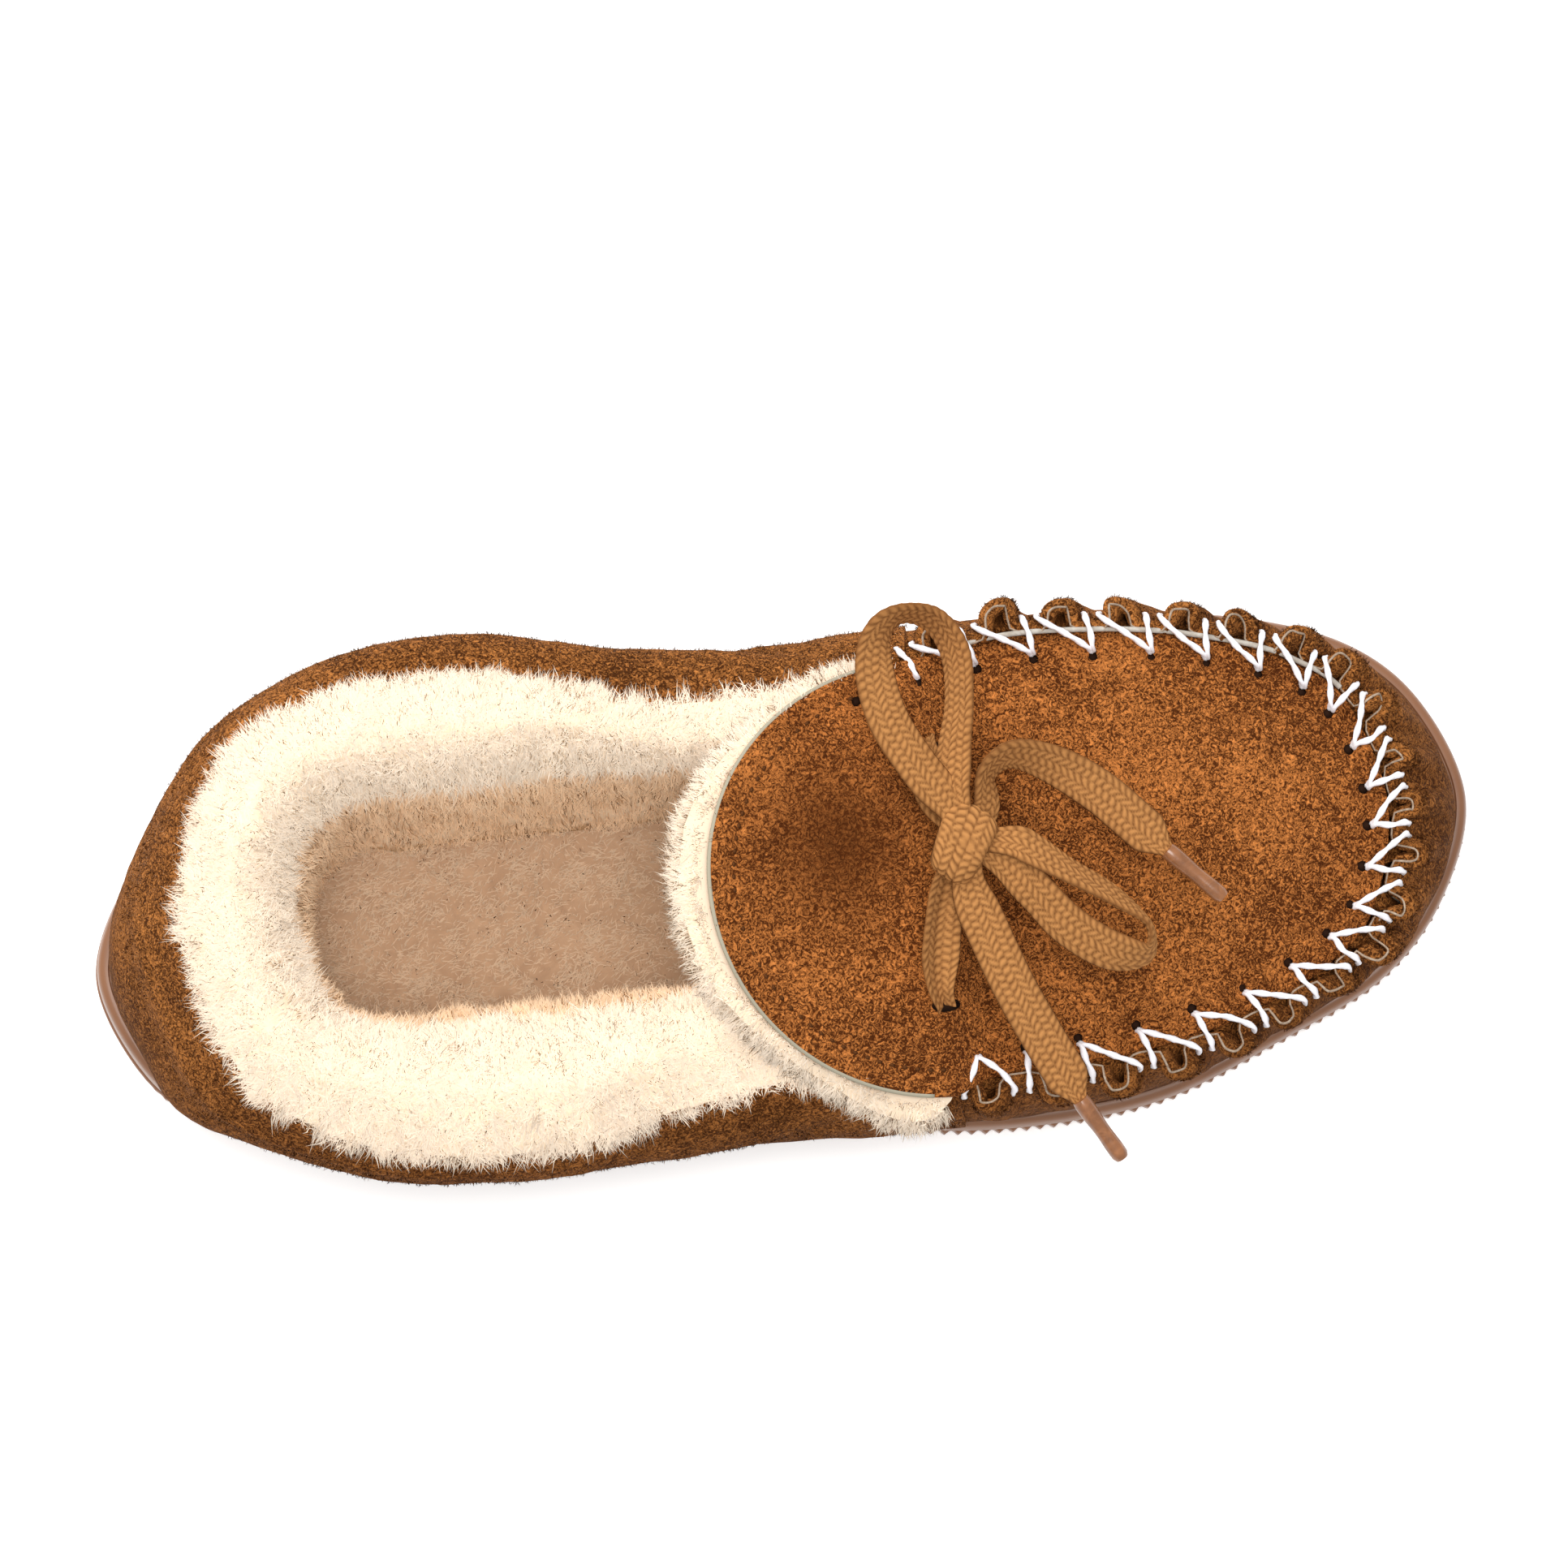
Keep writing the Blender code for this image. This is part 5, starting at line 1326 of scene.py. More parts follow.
@dataclass(frozen=True)
class Fleece:
    """Size and habit of wool: locks of fine tapered strands that gather towards their tips."""

    locks: int
    strands: int
    length: float
    spread: float
    lean: float
    gather: float
    curl: float
    width: float
    seed: int

    def grow(self, name: str, patch: Patch, finish: bpy.types.Material, slot: str) -> bpy.types.Object:
        """Grows the wool as one mesh.

        A strand is a quadratic curve from its root to its tip, p = r + 2t(1-t)c + t^2(e), with a
        small sine across it, and a blade of two triangles, pointed at both ends. It is lit as the
        surface of its lock would be, turned a little upwards, and casts no shadow, which keeps dense
        wool soft.

        Args:
            name: Name of the piece.
            patch: Where it grows.
            finish: Its material.
            slot: The record's material slot.

        Returns:
            The object.
        """
        rand = np.random.default_rng(self.seed)
        lock = patch.sample(rand, self.locks)
        total = self.locks * self.strands
        owner = np.repeat(np.arange(self.locks), self.strands)
        normal = unit(lock[:, 3:6])
        first = unit(np.cross(normal, np.array((0.31, 0.52, 0.79))))
        second = np.cross(normal, first)
        lifted = unit(normal + np.array((0.0, 0.0, LIT_FROM_ABOVE)))
        reach = self.length * lock[:, 9:10] * rand.uniform(0.75, 1.15, (self.locks, 1))
        sway = rand.normal(0.0, 0.30, (self.locks, 2))
        tip = (normal * (1.0 - 0.45 * self.lean) + lock[:, 6:9] * self.lean
               + first * sway[:, :1] + second * sway[:, 1:]) * reach
        offset = rand.normal(0.0, self.spread, (total, 2))
        root = (lock[owner, :3] + first[owner] * offset[:, :1] + second[owner] * offset[:, 1:]
                - normal[owner] * 0.4 * MM)
        own = rand.normal(0.0, 0.16, (total, 3)) * reach[owner]
        loose = first[owner] * offset[:, :1] + second[owner] * offset[:, 1:]
        end = tip[owner] * rand.uniform(0.7, 1.05, (total, 1)) - loose * self.gather + own
        control = normal[owner] * reach[owner] * 0.55 + own * 0.3
        wave = unit(np.cross(end, rand.normal(0.0, 1.0, (total, 3))))
        phase = rand.uniform(0.0, 2.0 * math.pi, (total, 1))
        centres = []
        for t in (0.0, 0.55, 1.0):
            bend = wave * self.curl * t * np.sin(phase + 5.0 * t)
            centres.append(root + 2.0 * t * (1.0 - t) * control + t * t * end + bend)
        facing = normal[owner] + rand.normal(0.0, 0.45, (total, 3))
        side = unit(np.cross(end, facing)) * self.width / 2
        turned = np.sum(np.cross(side, end) * lifted[owner], axis=1, keepdims=True) < 0.0
        side = np.where(turned, -side, side)
        points = np.stack([centres[0], centres[1] - side, centres[1] + side, centres[2]], axis=1)
        start = np.arange(total)[:, None] * 4
        halves = np.concatenate([start + np.array((0, 2, 1)), start + np.array((1, 2, 3))])
        depth = np.tile(np.array((0.0, 0.6, 0.6, 1.0)), total)
        tone = np.repeat(rand.random(self.locks)[owner], 4)
        tilt = unit(lifted + first * sway[:, :1] * 0.6 + second * sway[:, 1:] * 0.6)
        shading = np.repeat(unit(tilt[owner] + rand.normal(0.0, 0.10, (total, 3))), 4, axis=0)
        made = mesh_piece(name, points.reshape(-1, 3), [halves], finish, slot, closed=False,
                          marks={"tip": depth, "tone": tone}, shading=shading)
        made.visible_shadow = False
        return made


# The collar's arch. Columns: place between rim and hollow, height as a share of the crest, and how
# far it hangs over in metres.
COLLAR_ARCH = ((0.02, 0.30, 0.0012), (0.20, 0.80, 0.0), (0.46, 1.0, 0.0), (0.76, 0.35, 0.0))


@dataclass
class CollarFleece:
    """Sheepskin that lines heel and sides and rolls over the collar."""

    last: Last
    columns: int = 220
    rows: int = 64
    drawn_place: float = 23.5
    drawn_run: float = 3.6
    drawn_share: float = 0.10

    def control_rings(self, places: np.ndarray) -> np.ndarray:
        """Rings of the wool, from its foot outside, over the crest, to its foot inside.

        Args:
            places: Rows of the loop.

        Returns:
            Rings by places by 3.
        """
        last = self.last
        out = last.outward(last.rim_line, places)
        behind = out * (last.wall + last.gap)
        rim = last.rim_line(places)
        back = smooth_step(-rim[:, 0], 0.030 - last.throat_x(), 0.070 - last.throat_x())
        crest = 0.0005 + last.collar_crest * back
        around = np.mod(places - self.drawn_place + LOOP / 2, LOOP) - LOOP / 2
        drawn = self.drawn_share * np.exp(-(around / self.drawn_run) ** 2) * back
        cavity = last.cavity_line(places, last.cavity_half_width)
        foot = last.bare_wall(places, 0.06) - behind
        foot[:, 2] = last.sole_top(foot[:, 0]) + last.insole_thickness + 0.4 * MM
        rings = [foot, last.bare_wall(places, 0.46) - behind, last.bare_wall(places, 0.84) - behind]
        low = rim - behind * 0.9
        rings.append(low)
        for share, height, over in COLLAR_ARCH:
            shift = np.clip(share + drawn * (1.0 - share), 0.0, 1.0)[:, None]
            ring = rim * (1.0 - shift) + cavity * shift + out * over * (back - drawn * 10.0)[:, None]
            ring[:, 2] = rim[:, 2] + 0.6 * MM + height * crest
            rings.append(ring)
        edge = cavity.copy()
        edge[:, 2] = rim[:, 2] - 8.0 * MM
        belly = last.cavity_line(places, last.cavity_half_width - 1.0 * MM)
        belly[:, 2] = 0.58 * rim[:, 2]
        inside = last.cavity_line(places, last.cavity_foot)
        inside[:, 2] = last.sole_top(inside[:, 0]) + last.insole_thickness + 0.4 * MM
        return np.array(rings + [edge, belly, inside])

    def build(self, palette: Palette) -> None:
        """Makes the lumpy base, then its wool over the collar and down the inner wall.

        Args:
            palette: The finishes.
        """
        last = self.last
        side = last.even_places(last.rim_line, self.columns // 2, 0.0, last.throat - 0.35)
        places = np.mod(np.concatenate([LOOP - side[:0:-1], LOOP + side]), LOOP)
        rings = self.control_rings(places)
        count = len(rings)
        grid = spline(rings, np.linspace(0.0, count - 1, self.rows))
        share = np.linspace(0.0, count - 1, self.rows)
        out = last.outward(last.rim_line, places)
        toward = np.broadcast_to(np.array((0.0, 0.0, 1.0)), grid.shape)
        normals = grid_normals(grid, toward)
        lumps = 1.0 * MM * lattice_noise(grid, 7 * MM, 31) + 0.5 * MM * lattice_noise(grid, 2.6 * MM, 32)
        shown = smooth_step(share, 3.6, 4.4)[:, None]
        grid = grid + normals * (lumps * shown)[..., None]
        faces = [grid_faces(self.rows, len(places), 0, True, False)]
        for column, order in ((0, 1), (len(places) - 1, -1)):
            faces.append((np.arange(self.rows)[None] * len(places) + column)[:, ::order])
        ones = np.ones(grid.shape[0] * grid.shape[1])
        mesh_piece("collar_sheepskin", grid.reshape(-1, 3), faces, palette.backing, "collar_wool",
                   ("collar_fleece",), marks={"tip": ones * 0.3, "tone": ones * 0.5})
        over = np.interp(share, (4.0, 5.0, 6.2, 7.2, 8.0), (0.55, 0.35, 0.05, -0.25, -0.3))
        drop = np.interp(share, (4.0, 5.0, 6.2, 7.2, 9.0), (-0.25, 0.0, 0.1, -0.1, -0.4))
        lean = out[None] * over[:, None, None] + np.array((0.0, 0.0, 1.0)) * drop[:, None, None]
        length = np.tile(np.interp(share, (4.0, 5.0, 7.0, 8.0, 10.0), (0.8, 1.0, 1.0, 0.9, 0.6))[:, None],
                         (1, len(places)))
        top = (share > 3.9) & (share < 7.6)
        wall = share > 7.4
        for name, rows, finish, habit in (
                ("collar_wool_hair", top, palette.wool,
                 Fleece(5600, 16, 4.0 * MM, 1.0 * MM, 0.45, 0.35, 0.5 * MM, 0.19 * MM, 41)),
                ("inner_wool_hair", wall, palette.shaded_inner_wool,
                 Fleece(3300, 14, 3.4 * MM, 1.1 * MM, 0.4, 0.35, 0.5 * MM, 0.20 * MM, 42))):
            patch = Patch(grid[rows], normals[rows], lean[rows], length[rows])
            habit.grow(name, patch, finish, "collar_wool")


@dataclass
class TongueFleece:
    """Wool under the tongue, showing round its edge."""

    last: Last

    def build(self, palette: Palette) -> None:
        """Gives the CAD solid its colour and grows wool round its edge and beneath.

        Args:
            palette: The finishes.
        """
        last = self.last
        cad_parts["tongue_fleece"].material_slots[0].material = palette.backing
        table = spline(TONGUE_WOOL_ROWS, np.linspace(0.0, 5.7, 90))
        along = last.throat_x() + table[:, 0] * last.tongue_reach
        middle = last.tongue_sideways + last.side_shift
        outer = np.column_stack([along, middle - table[:, 1] * last.tongue_half_width])
        inner = np.column_stack([along, middle + table[:, 2] * last.tongue_half_width])
        edge = np.vstack([outer[::-1], inner[1:]])
        centre = np.array((last.throat_x() - 0.002, middle))
        away = unit(edge - centre)
        rings = []
        for inset, drop in ((4.2, 4.6), (1.5, 1.9), (0.0, 4.2), (0.6, 7.0), (14.0, 9.5)):
            flat = edge - away * inset * MM
            rings.append(last.on_plug(flat, -drop * MM))
        grid = spline(np.array(rings), np.linspace(0.0, 4.0, 28))
        out = np.concatenate([away, np.zeros((len(away), 1))], axis=1)
        normals = grid_normals(grid, np.broadcast_to(out, grid.shape))
        share = np.linspace(0.0, 4.0, 28)
        amount = np.interp(share, (0.0, 2.0, 4.0), (1.0, 0.7, 0.1))
        lean = np.broadcast_to(out, grid.shape) * amount[:, None, None]
        length = np.tile(np.interp(share, (0.0, 1.0, 4.0), (0.75, 1.0, 0.8))[:, None], (1, len(edge)))
        habit = Fleece(2000, 14, 2.9 * MM, 0.9 * MM, 0.5, 0.35, 0.4 * MM, 0.19 * MM, 51)
        habit.grow("tongue_wool_hair", Patch(grid, normals, lean, length), palette.wool, "tongue_wool")


@dataclass
class Sock:
    """Insole of short trodden wool and the lining inside the vamp."""

    last: Last

    def build(self, palette: Palette) -> None:
        """Gives the CAD insole its colour, grows its wool and lines the vamp.

        Args:
            palette: The finishes.
        """
        last = self.last
        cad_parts["insole"].material_slots[0].material = palette.sock_base
        x, y = np.meshgrid(np.linspace(-0.094, 0.060, 60), np.linspace(-0.0215, 0.0215, 20))
        grid = np.stack([x, y, last.sole_top(x) + last.gap + last.insole_thickness - 0.2 * MM], axis=-1)
        up = np.broadcast_to(np.array((0.0, 0.0, 1.0)), grid.shape)
        lean = np.broadcast_to(np.array((0.8, 0.2, 0.0)), grid.shape)
        habit = Fleece(2400, 10, 2.3 * MM, 1.1 * MM, 0.6, 0.3, 0.5 * MM, 0.24 * MM, 61)
        habit.grow("sock_wool_hair", Patch(grid, up, lean, np.ones(x.shape)), palette.sock, "sock_wool")
        places = last.even_places(last.rim_line, 150, last.throat - 0.6, LOOP - last.throat + 0.6)
        line, level = np.meshgrid(places, np.linspace(0.10, 0.86, 24))
        wall = last.bare_wall(line.ravel(), level.ravel()).reshape(line.shape + (3,))
        out = last.outward(last.rim_line, line.ravel()).reshape(line.shape + (3,))
        wall = wall - grid_normals(wall, out) * 3.2 * MM
        wall = wall + out * (0.7 * MM * lattice_noise(wall, 4 * MM, 62))[..., None]
        points, faces, _ = shell(wall, 1.2 * MM, out, Edge.TOP)
        mesh_piece("vamp_lining", points, faces, palette.backing, "collar_wool")


@dataclass
class Outsole:
    """Moulded unit sole: toothed foot edge, step, rounded side, ledge with a groove, and lugs."""

    last: Last
    teeth: int = 232
    per_tooth: int = 6
    cells: int = 12
    tooth_depth: float = 0.0008
    tooth_height: float = 0.0036
    step: float = 0.0012
    land: float = 0.0062

    def lug_depth(self, points: np.ndarray) -> np.ndarray:
        """Depth of the cross grooves: flat bottoms with soft walls, ending short of the edge.

        Args:
            points: Points of the underside.

        Returns:
            Depths above the underside.
        """
        last = self.last
        rows = np.linspace(0.0, LOOP / 2, 200)
        outer = last.sole_line(rows)
        inner = last.sole_line(LOOP - rows)
        low = np.interp(points[:, 0], outer[:, 0], outer[:, 1]) + 10 * MM
        high = np.interp(points[:, 0], inner[:, 0], inner[:, 1]) - 10 * MM
        inside = (smooth_step(points[:, 1] - low, -0.4 * MM, 0.4 * MM)
                  * smooth_step(high - points[:, 1], -0.4 * MM, 0.4 * MM))
        depth = np.zeros(len(points))
        for start, end in ((0.09, 0.30), (0.57, 0.80)):
            run = (end - start) * last.length
            for x in (start - 0.5) * last.length + np.linspace(0.0, run, round(run / 0.0088) + 1):
                groove = 1.0 - smooth_step(np.abs(points[:, 0] - x), 0.9 * MM, 1.35 * MM)
                depth = np.maximum(depth, 1.4 * MM * groove)
        return depth * inside

    def build(self, palette: Palette) -> None:
        """Makes the sole and the stitch marks on its ledge at the heel.

        Args:
            palette: The finishes.
        """
        last = self.last
        count = self.teeth * self.per_tooth
        places = last.even_places(last.sole_line, count)[:-1]
        line = last.sole_line(places)
        out = last.outward(last.sole_line, places)
        share = line[:, 0] / last.length + 0.5
        cog = 0.5 - 0.5 * np.cos(2.0 * math.pi * np.arange(count) / self.per_tooth)
        tooth = self.tooth_depth * cog ** 0.7 * smooth_step(share, 0.02, 0.07)
        floor = last.floor(line[:, 0])
        top = last.sole_top(line[:, 0])
        side = top - 1.6 * MM - self.tooth_height - 0.3 * MM
        rows = [(self.land, floor), (tooth + 0.5 * MM, floor), (tooth + 0.1 * MM, floor + 0.3 * MM),
                (tooth, floor + 0.8 * MM), (tooth, floor + self.tooth_height - 0.4 * MM),
                (tooth + 0.25 * MM, floor + self.tooth_height),
                (self.step, floor + self.tooth_height + 0.25 * MM),
                (self.step - 0.25 * MM, floor + self.tooth_height + 0.9 * MM)]
        for part in (0.25, 0.5, 0.75, 1.0):
            rows.append((self.step * (0.65 - 0.25 * math.sin(math.pi * part)),
                         floor + self.tooth_height + 0.9 * MM + (side - 0.6 * MM - floor) * part))
        for turn in (25.0, 50.0, 75.0, 90.0):
            a = math.radians(turn)
            rows.append((self.step * 0.65 + 1.5 * MM * (1.0 - math.cos(a)),
                         top - 1.6 * MM + 1.6 * MM * math.sin(a)))
        rows += [(2.7 * MM, top), (2.95 * MM, top - 0.45 * MM), (3.35 * MM, top - 0.45 * MM),
                 (3.6 * MM, top), (self.land, top)]
        rings = []
        for inset, height in rows:
            ring = line - out * np.reshape(np.broadcast_to(inset, (count,)), (-1, 1))
            ring[:, 2] = height
            rings.append(ring)
        points = np.array(rings).reshape(-1, 3)
        faces = [grid_faces(len(rows), count, 0, False, True)]
        for ring, cells, under in ((0, self.cells, True), (len(rows) - 1, 3, False)):
            points, more = self.cap(points, ring * count, count, cells, under)
            faces += more
        mesh_piece("rubber_sole", points, faces, palette.rubber, "brown_rubber", ("outsole",), sharp=55.0)
        self.heel_marks(palette)

    def cap(self, points: np.ndarray, start: int, count: int, cells: int,
            under: bool) -> tuple[np.ndarray, list[np.ndarray]]:
        """Closes a ring with strips across the sole, between its outer and inner side.

        Args:
            points: Points so far, which the ring belongs to.
            start: Number of the ring's first point.
            count: Points of the ring.
            cells: Cells across.
            under: Whether it is the underside.

        Returns:
            All the points and the new faces.
        """
        pairs = np.arange(1, count // 2)
        near = start + pairs
        far = start + count - pairs
        shares = np.linspace(0.0, 1.0, cells + 1)[1:-1]
        between = points[near][:, None] * (1.0 - shares[:, None]) + points[far][:, None] * shares[:, None]
        flat = between.reshape(-1, 3)
        if under:
            flat[:, 2] = self.last.floor(flat[:, 0]) + self.lug_depth(flat)
        else:
            flat[:, 2] = self.last.sole_top(flat[:, 0])
        inside = len(points) + np.arange(len(flat)).reshape(len(pairs), cells - 1)
        table = np.concatenate([near[:, None], inside, far[:, None]], axis=1)
        strips = np.stack([table[:-1, :-1], table[1:, :-1], table[1:, 1:], table[:-1, 1:]], -1)
        strips = strips.reshape(-1, 4)
        heel = np.column_stack([np.full(cells, start), table[0, :-1], table[0, 1:]])
        toe = np.column_stack([np.full(cells, start + count // 2), table[-1, 1:], table[-1, :-1]])
        order = 1 if under else -1
        return np.concatenate([points, flat]), [group[:, ::order] for group in (strips, heel, toe)]

    def heel_marks(self, palette: Palette) -> None:
        """Dark dashes in the ledge's groove round the heel.

        Args:
            palette: The finishes.
        """
        last = self.last
        parts = []
        for place in np.concatenate([np.arange(0.15, 3.0, 0.24), LOOP - np.arange(0.15, 3.0, 0.24)]):
            run = np.linspace(place - 0.06, place + 0.06, 6)
            path = last.sole_line(run) - last.outward(last.sole_line, run) * 3.15 * MM
            path[:, 2] = last.sole_top(path[:, 0]) - 0.30 * MM
            parts.append(tube(path, 0.28 * MM, 6))
        mesh_piece("heel_stitch_marks", *joined(parts), palette.slit, "brown_rubber")


@dataclass
class Ribbon:
    """A stretch of flat braided lace along a route."""

    name: str
    route: tuple[tuple[float, float, float, float], ...]
    node: str | None
    pinch_start: float = 0.6
    pinch_end: float = 1.0
    width: float = 0.0078
    thickness: float = 0.0014
    step: float = 0.00036
    cells: int = 27
    shift: float = 0.0002
    fold: float = 0.0
    narrow: float = 0.0
    widen: float = 0.011

    def frames(self) -> tuple[np.ndarray, np.ndarray, np.ndarray, np.ndarray]:
        """Returns: centres, width and face directions, and distance along the route."""
        rows = np.array(self.route, dtype=float)
        fine = spline(rows, np.linspace(0, len(rows) - 1, 600))
        run = np.concatenate([[0.0], np.cumsum(np.linalg.norm(np.diff(fine[:, :3], axis=0), axis=1))])
        spots = np.linspace(0.0, run[-1], max(8, round(run[-1] / self.step)) + 1)
        table = np.column_stack([np.interp(spots, run, fine[:, k]) for k in range(4)])
        centres = table[:, :3] + np.array((0.0, self.shift, 0.0))
        ahead = unit(np.gradient(centres, axis=0))
        level = unit(np.cross(np.array((0.0, 0.0, 1.0)), ahead))
        up = np.cross(ahead, level)
        roll = np.radians(table[:, 3])[:, None]
        across = level * np.cos(roll) + up * np.sin(roll)
        return centres, across, np.cross(ahead, across), spots

    def braid(self, along: np.ndarray, across: np.ndarray) -> np.ndarray:
        """Relief of the braid: lanes of slanted stitches whose slant turns from lane to lane.

        Args:
            along: Distance along the lace.
            across: Distance from its middle.

        Returns:
            Heights from 0 to 1.
        """
        along = along + 0.16 * MM * np.sin(along / (2.3 * MM) + 3.0 * across / MM)
        lane = across / (1.55 * MM) + 0.5
        which = np.floor(lane)
        inside = 2.0 * (lane - which) - 1.0
        slant = np.where(which % 2 == 0, 1.0, -1.0)
        turns = along / (1.45 * MM) + 0.32 * slant * inside + 0.5 * (which % 2)
        wave = 0.5 + 0.5 * np.cos(2.0 * math.pi * turns)
        return wave ** 0.6 * (1.0 - 0.75 * inside ** 4)

    def build(self, palette: Palette) -> tuple[bpy.types.Object, np.ndarray, float]:
        """Makes the ribbon: both faces carry the braid's relief, and its edges are round.

        Args:
            palette: The finishes.

        Returns:
            The object, its centreline and its length.
        """
        centres, across, face, run = self.frames()
        share = np.linspace(-1.0, 1.0, self.cells)
        near = smooth_step(run, 0.0, 11 * MM)
        far = smooth_step(run[-1] - run, self.narrow, self.widen)
        wide = (self.width / 2 * (self.pinch_start + (1 - self.pinch_start) * near)
                * (self.pinch_end + (1 - self.pinch_end) * far))
        dome = np.sqrt(np.maximum(1.0 - np.abs(share) ** 6, 0.0))
        relief = self.braid(run[:, None], (share * self.width / 2)[None])
        thick = self.thickness / 2 * dome * (0.64 + 0.36 * relief)
        spread = centres[:, None] + across[:, None] * (wide[:, None] * share)[..., None]
        spread = spread + face[:, None] * (self.fold * (np.abs(share) - 0.5))[None, :, None]
        upper = spread + face[:, None] * thick[..., None]
        lower = spread - face[:, None] * thick[..., None]
        ring = np.concatenate([upper, lower[:, -2:0:-1]], axis=1)
        # The raised mark paints shade into the braid's grooves and towards its rounded edges.
        raised = np.concatenate([relief * dome, (relief * dome)[:, -2:0:-1]], axis=1)
        count = ring.shape[1]
        faces = [grid_faces(len(run), count, 0, False, True), np.arange(count)[None, ::-1],
                 ((len(run) - 1) * count + np.arange(count))[None]]
        made = mesh_piece(self.name, ring.reshape(-1, 3), faces, palette.weave, "lace_weave",
                          (self.node,) if self.node else (), marks={"raised": raised.ravel()})
        return made, centres, float(run[-1])


@dataclass
class Bow:
    """The lace: its stretches to the slots, the knot, two loops, two ends and their tips."""

    lace_width: float = 0.008
    aglet_length: float = 0.0130
    aglet_radius: float = 0.0016

    def aglet(self, name: str, centres: np.ndarray, palette: Palette) -> bpy.types.Object:
        """Plastic sleeve round the last stretch of an end, a little flattened and uneven.

        Args:
            name: The CAD node that it stands for.
            centres: Centreline of the end.
            palette: The finishes.

        Returns:
            The object.
        """
        ahead = unit(centres[-1] - centres[-12])
        start = centres[-1] - ahead * self.aglet_length
        path = start + ahead * np.linspace(0.0, self.aglet_length + 0.3 * MM, 18)[:, None]
        share = np.linspace(0.0, 1.0, 18)
        radius = self.aglet_radius * (1.0 + 0.06 * np.sin(9.0 * share)) * (1.0 - 0.10 * share)
        radius[0] *= 0.93
        radius[-1] *= 0.8
        points, faces = tube(path, radius, 20)
        return mesh_piece(name + "_tip", points, faces, palette.aglet, "aglet_plastic", (name,),
                          sharp=50.0)

    def knot(self, palette: Palette) -> bpy.types.Object:
        """The knot: a braided pillow with the lace wrapped over it as a wide band.

        Args:
            palette: The finishes.

        Returns:
            The object.
        """
        turn = math.radians(62.0)
        front = np.array((math.cos(turn), math.sin(turn), 0.0))
        angle = np.linspace(0.0, 2.0 * math.pi, 120, endpoint=False)
        share = np.linspace(-1.0, 1.0, 33)
        side = np.array((-front[1], front[0], 0.0))
        up = np.array((0.0, 0.0, 1.0))
        power = 0.72
        loop = (front * (6.6 * MM * np.sign(np.cos(angle)) * np.abs(np.cos(angle)) ** power)[:, None]
                + up * (3.4 * MM * np.sign(np.sin(angle)) * np.abs(np.sin(angle)) ** power)[:, None])
        run = np.concatenate([[0.0], np.cumsum(np.linalg.norm(np.diff(loop, axis=0), axis=1))])
        relief = Ribbon("", (), None).braid(run[:, None], (share * 4.0 * MM)[None])
        swell = (1.0 - 0.30 * share ** 4) * (1.0 + 0.05 * np.sin(3.0 * angle[:, None] + 2.0 * share))
        grid = (KNOT_PLACE + loop[:, None] * (swell + 0.045 * relief)[..., None]
                + side * (4.6 * MM * share * (1.0 + 0.12 * np.cos(angle[:, None])))[..., None])
        count = len(angle)
        points = grid.transpose(1, 0, 2).reshape(-1, 3)
        faces = [grid_faces(len(share), count, 0, False, True), np.arange(count)[None, ::-1],
                 ((len(share) - 1) * count + np.arange(count))[None]]
        # The raised mark paints shade into the braid's grooves.
        return mesh_piece("bow_knot", points, faces, palette.weave, "lace_weave", ("lace_knot",),
                          marks={"raised": relief.T.ravel()}, sharp=60.0)

    def build(self, palette: Palette) -> None:
        """Makes the bow.

        Args:
            palette: The finishes.
        """
        outward = Ribbon("lace_to_outer_slot", CROSSING_OUT, "lace_crossing", 0.45, 0.45, fold=2.2 * MM)
        outward.build(palette)
        Ribbon("lace_to_inner_slot", CROSSING_IN, None, 0.5, 0.5, fold=1.8 * MM).build(palette)
        knot = self.knot(palette)
        for name, route, node, pinch, with_knot in (
                ("bow_loop_1", LOOP_1_ROUTE, "lace_loop_1", 0.55, True),
                ("bow_loop_2", LOOP_2_ROUTE, "lace_loop_2", 0.55, False)):
            made, centres, length = Ribbon(name, route, node, pinch, pinch).build(palette)
        for name, route, node, aglet in (("bow_end_1", END_1_ROUTE, "lace_end_1", "aglet_1"),
                                         ("bow_end_2", END_2_ROUTE, "lace_end_2", "aglet_2")):
            ribbon = Ribbon(name, route, node, 0.6, 0.32, narrow=12 * MM, widen=18 * MM)
            made, centres, length = ribbon.build(palette)
            tip = self.aglet(aglet, centres, palette)


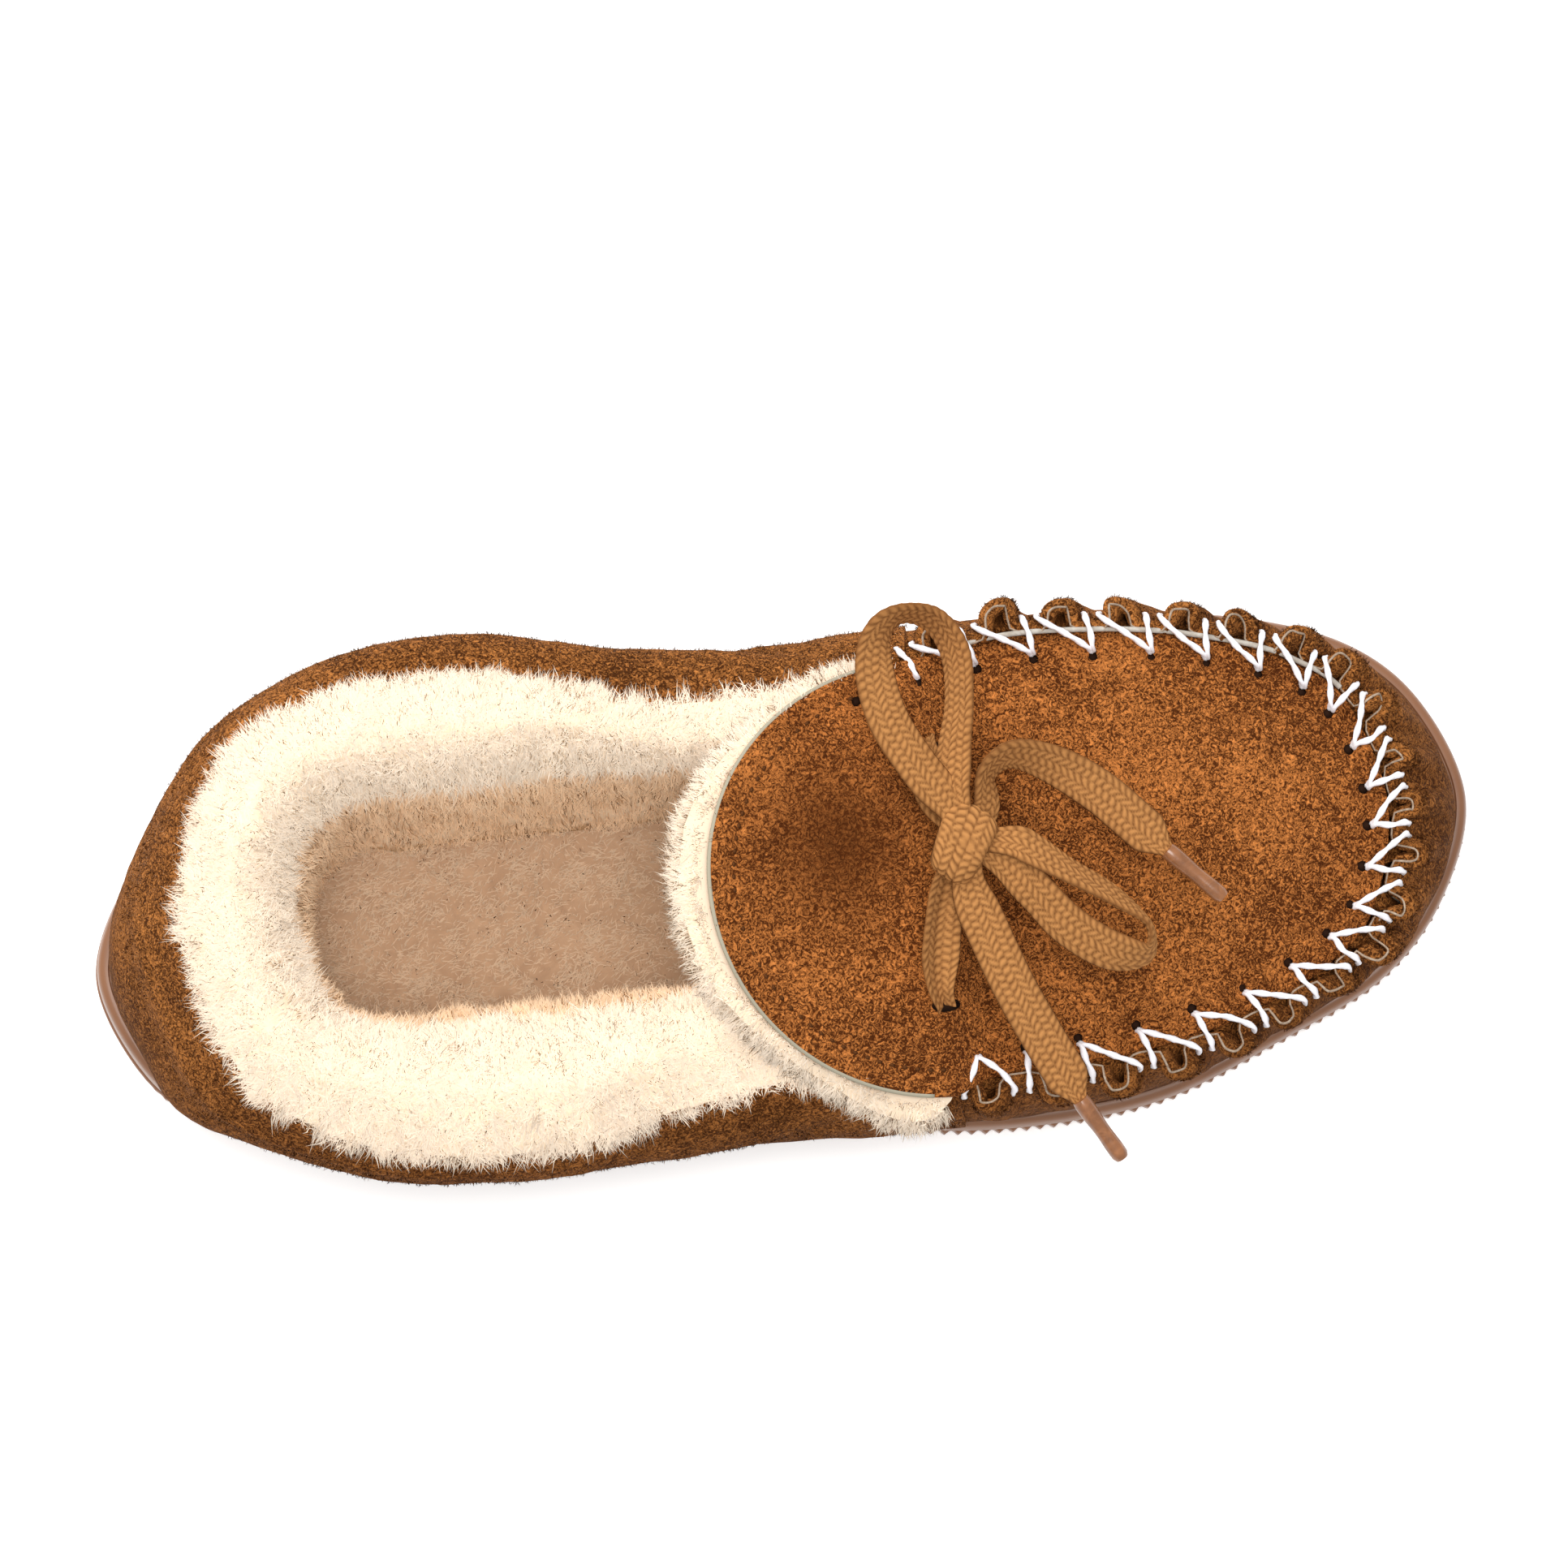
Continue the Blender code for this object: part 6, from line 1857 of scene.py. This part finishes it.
@dataclass
class Nap:
    """Loose fibres of the suede along its cut edges and over its face."""

    last: Last

    def build(self, vamp: np.ndarray, vamp_out: np.ndarray, quarter: np.ndarray, quarter_out: np.ndarray,
              plug: np.ndarray, palette: Palette) -> None:
        """Grows short fibres on the puckers' edge, the quarters and the plug.

        Args:
            vamp: Grid of the vamp's outer face.
            vamp_out: Its outward vectors.
            quarter: Grid of the quarters' outer face.
            quarter_out: Its outward vectors.
            plug: Grid of the plug's upper face.
            palette: The finishes.
        """
        up = np.array((0.0, 0.0, 1.0))
        normals = grid_normals(vamp, vamp_out)
        edge = slice(len(vamp) - 5, None)
        sides = grid_normals(quarter, quarter_out)
        high = slice(len(quarter) // 2, None)
        upward = np.broadcast_to(up, quarter[high].shape) * 0.6
        forward = np.broadcast_to(np.array((-0.6, 0.3, 0.0)), plug.shape)
        grow = (
            ("edge_fibres", palette.suede,
             Patch(vamp[edge], normals[edge], np.broadcast_to(up, vamp[edge].shape),
                   np.ones(vamp[edge].shape[:2])),
             Fleece(2600, 3, 1.1 * MM, 0.4 * MM, 0.8, 0.2, 0.2 * MM, 0.12 * MM, 71)),
            ("quarter_fibres", palette.suede,
             Patch(quarter[high], sides[high], upward, np.ones(quarter[high].shape[:2])),
             Fleece(4200, 3, 1.2 * MM, 0.6 * MM, 0.8, 0.2, 0.3 * MM, 0.13 * MM, 73)),
            ("plug_fibres", palette.plug,
             Patch(plug, grid_normals(plug, up), forward, np.ones(plug.shape[:2])),
             Fleece(4500, 3, 0.9 * MM, 0.5 * MM, 1.1, 0.1, 0.2 * MM, 0.12 * MM, 72)),
        )
        for name, finish, patch, habit in grow:
            habit.grow(name, patch, finish, "golden_suede")


@dataclass
class Studio:
    """White floor, soft light and the photo's camera."""

    azimuth: float = -27.0
    elevation: float = 82.0
    distance: float = 1.150
    roll: float = -20.53
    lens: float = 144.97
    target: tuple[float, float, float] = (0.0009, 0.0186, 0.0300)

    def camera(self) -> None:
        """Places the camera above the shoe, rolled as in the photo."""
        a, e, r = (math.radians(v) for v in (self.azimuth, self.elevation, self.roll))
        back = Vector((math.sin(a) * math.cos(e), -math.cos(a) * math.cos(e), math.sin(e)))
        right = Vector((0.0, 0.0, 1.0)).cross(back).normalized()
        up = back.cross(right)
        rolled_right = right * math.cos(r) - up * math.sin(r)
        rolled_up = right * math.sin(r) + up * math.cos(r)
        place = Matrix((rolled_right, rolled_up, back)).transposed().to_4x4()
        place.translation = Vector(self.target) + back * self.distance
        data = bpy.data.cameras.new("camera")
        data.lens = self.lens
        data.sensor_width = 36.0
        data.clip_start = 0.05
        data.clip_end = 20.0
        made = bpy.data.objects.new("camera", data)
        made.matrix_world = place
        bpy.context.scene.collection.objects.link(made)
        bpy.context.scene.camera = made

    def light(self, name: str, place: tuple[float, float, float], size: float, power: float,
              colour: tuple[float, float, float]) -> None:
        """A soft square light that faces the shoe.

        Args:
            name: Its name.
            place: Where it stands.
            size: Its side in metres.
            power: In watts.
            colour: Of its light.
        """
        data = bpy.data.lights.new(name, "AREA")
        data.size = size
        data.energy = power
        data.color = colour
        made = bpy.data.objects.new(name, data)
        made.location = place
        made.rotation_euler = (-Vector(place)).to_track_quat("-Z", "Y").to_euler()
        bpy.context.scene.collection.objects.link(made)

    def build(self) -> None:
        """Makes the floor, the lights and the surroundings."""
        finish, _, shader = Finish("floor", (0.96, 0.96, 0.96), 0.25).start()
        shader.inputs["Emission Color"].default_value = (1.0, 1.0, 1.0, 1.0)
        shader.inputs["Emission Strength"].default_value = 0.25
        mesh = bpy.data.meshes.new("floor")
        mesh.from_pydata([(-3, -3, 0), (3, -3, 0), (3, 3, 0), (-3, 3, 0)], [], [(0, 1, 2, 3)])
        mesh.materials.append(finish)
        floor = bpy.data.objects.new("floor", mesh)
        bpy.context.scene.collection.objects.link(floor)
        self.light("key", (-0.45, 1.00, 0.95), 0.7, 13.0, (1.0, 0.985, 0.96))
        self.light("top", (-0.10, -0.15, 1.90), 0.9, 24.0, (1.0, 0.99, 0.98))
        world = bpy.data.worlds.new("surroundings")
        world.use_nodes = True
        world.node_tree.nodes["Background"].inputs["Color"].default_value = (1.0, 1.0, 1.0, 1.0)
        world.node_tree.nodes["Background"].inputs["Strength"].default_value = 0.55
        bpy.context.scene.world = world
        bpy.context.scene.view_settings.view_transform = "Standard"


def main() -> None:
    """Builds the slipper on its frame, in the order a maker would see it."""
    logging.basicConfig(level=logging.INFO, format="%(name)s: %(message)s")
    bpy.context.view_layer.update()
    last = Last()
    studio = Studio()
    studio.camera()
    studio.build()
    palette = Palette()
    Bow().build(palette)
    Outsole(last).build(palette)
    Sock(last).build(palette)
    vamp, vamp_out, quarter, quarter_out = Upper(last).build(palette)
    plug = Plug(last)
    face = plug.build(palette)
    SeamThread(last).build(plug.holes(), palette)
    CollarFleece(last).build(palette)
    TongueFleece(last).build(palette)
    Nap(last).build(vamp, vamp_out, quarter, quarter_out, face, palette)


if __name__ == "__main__":
    main()
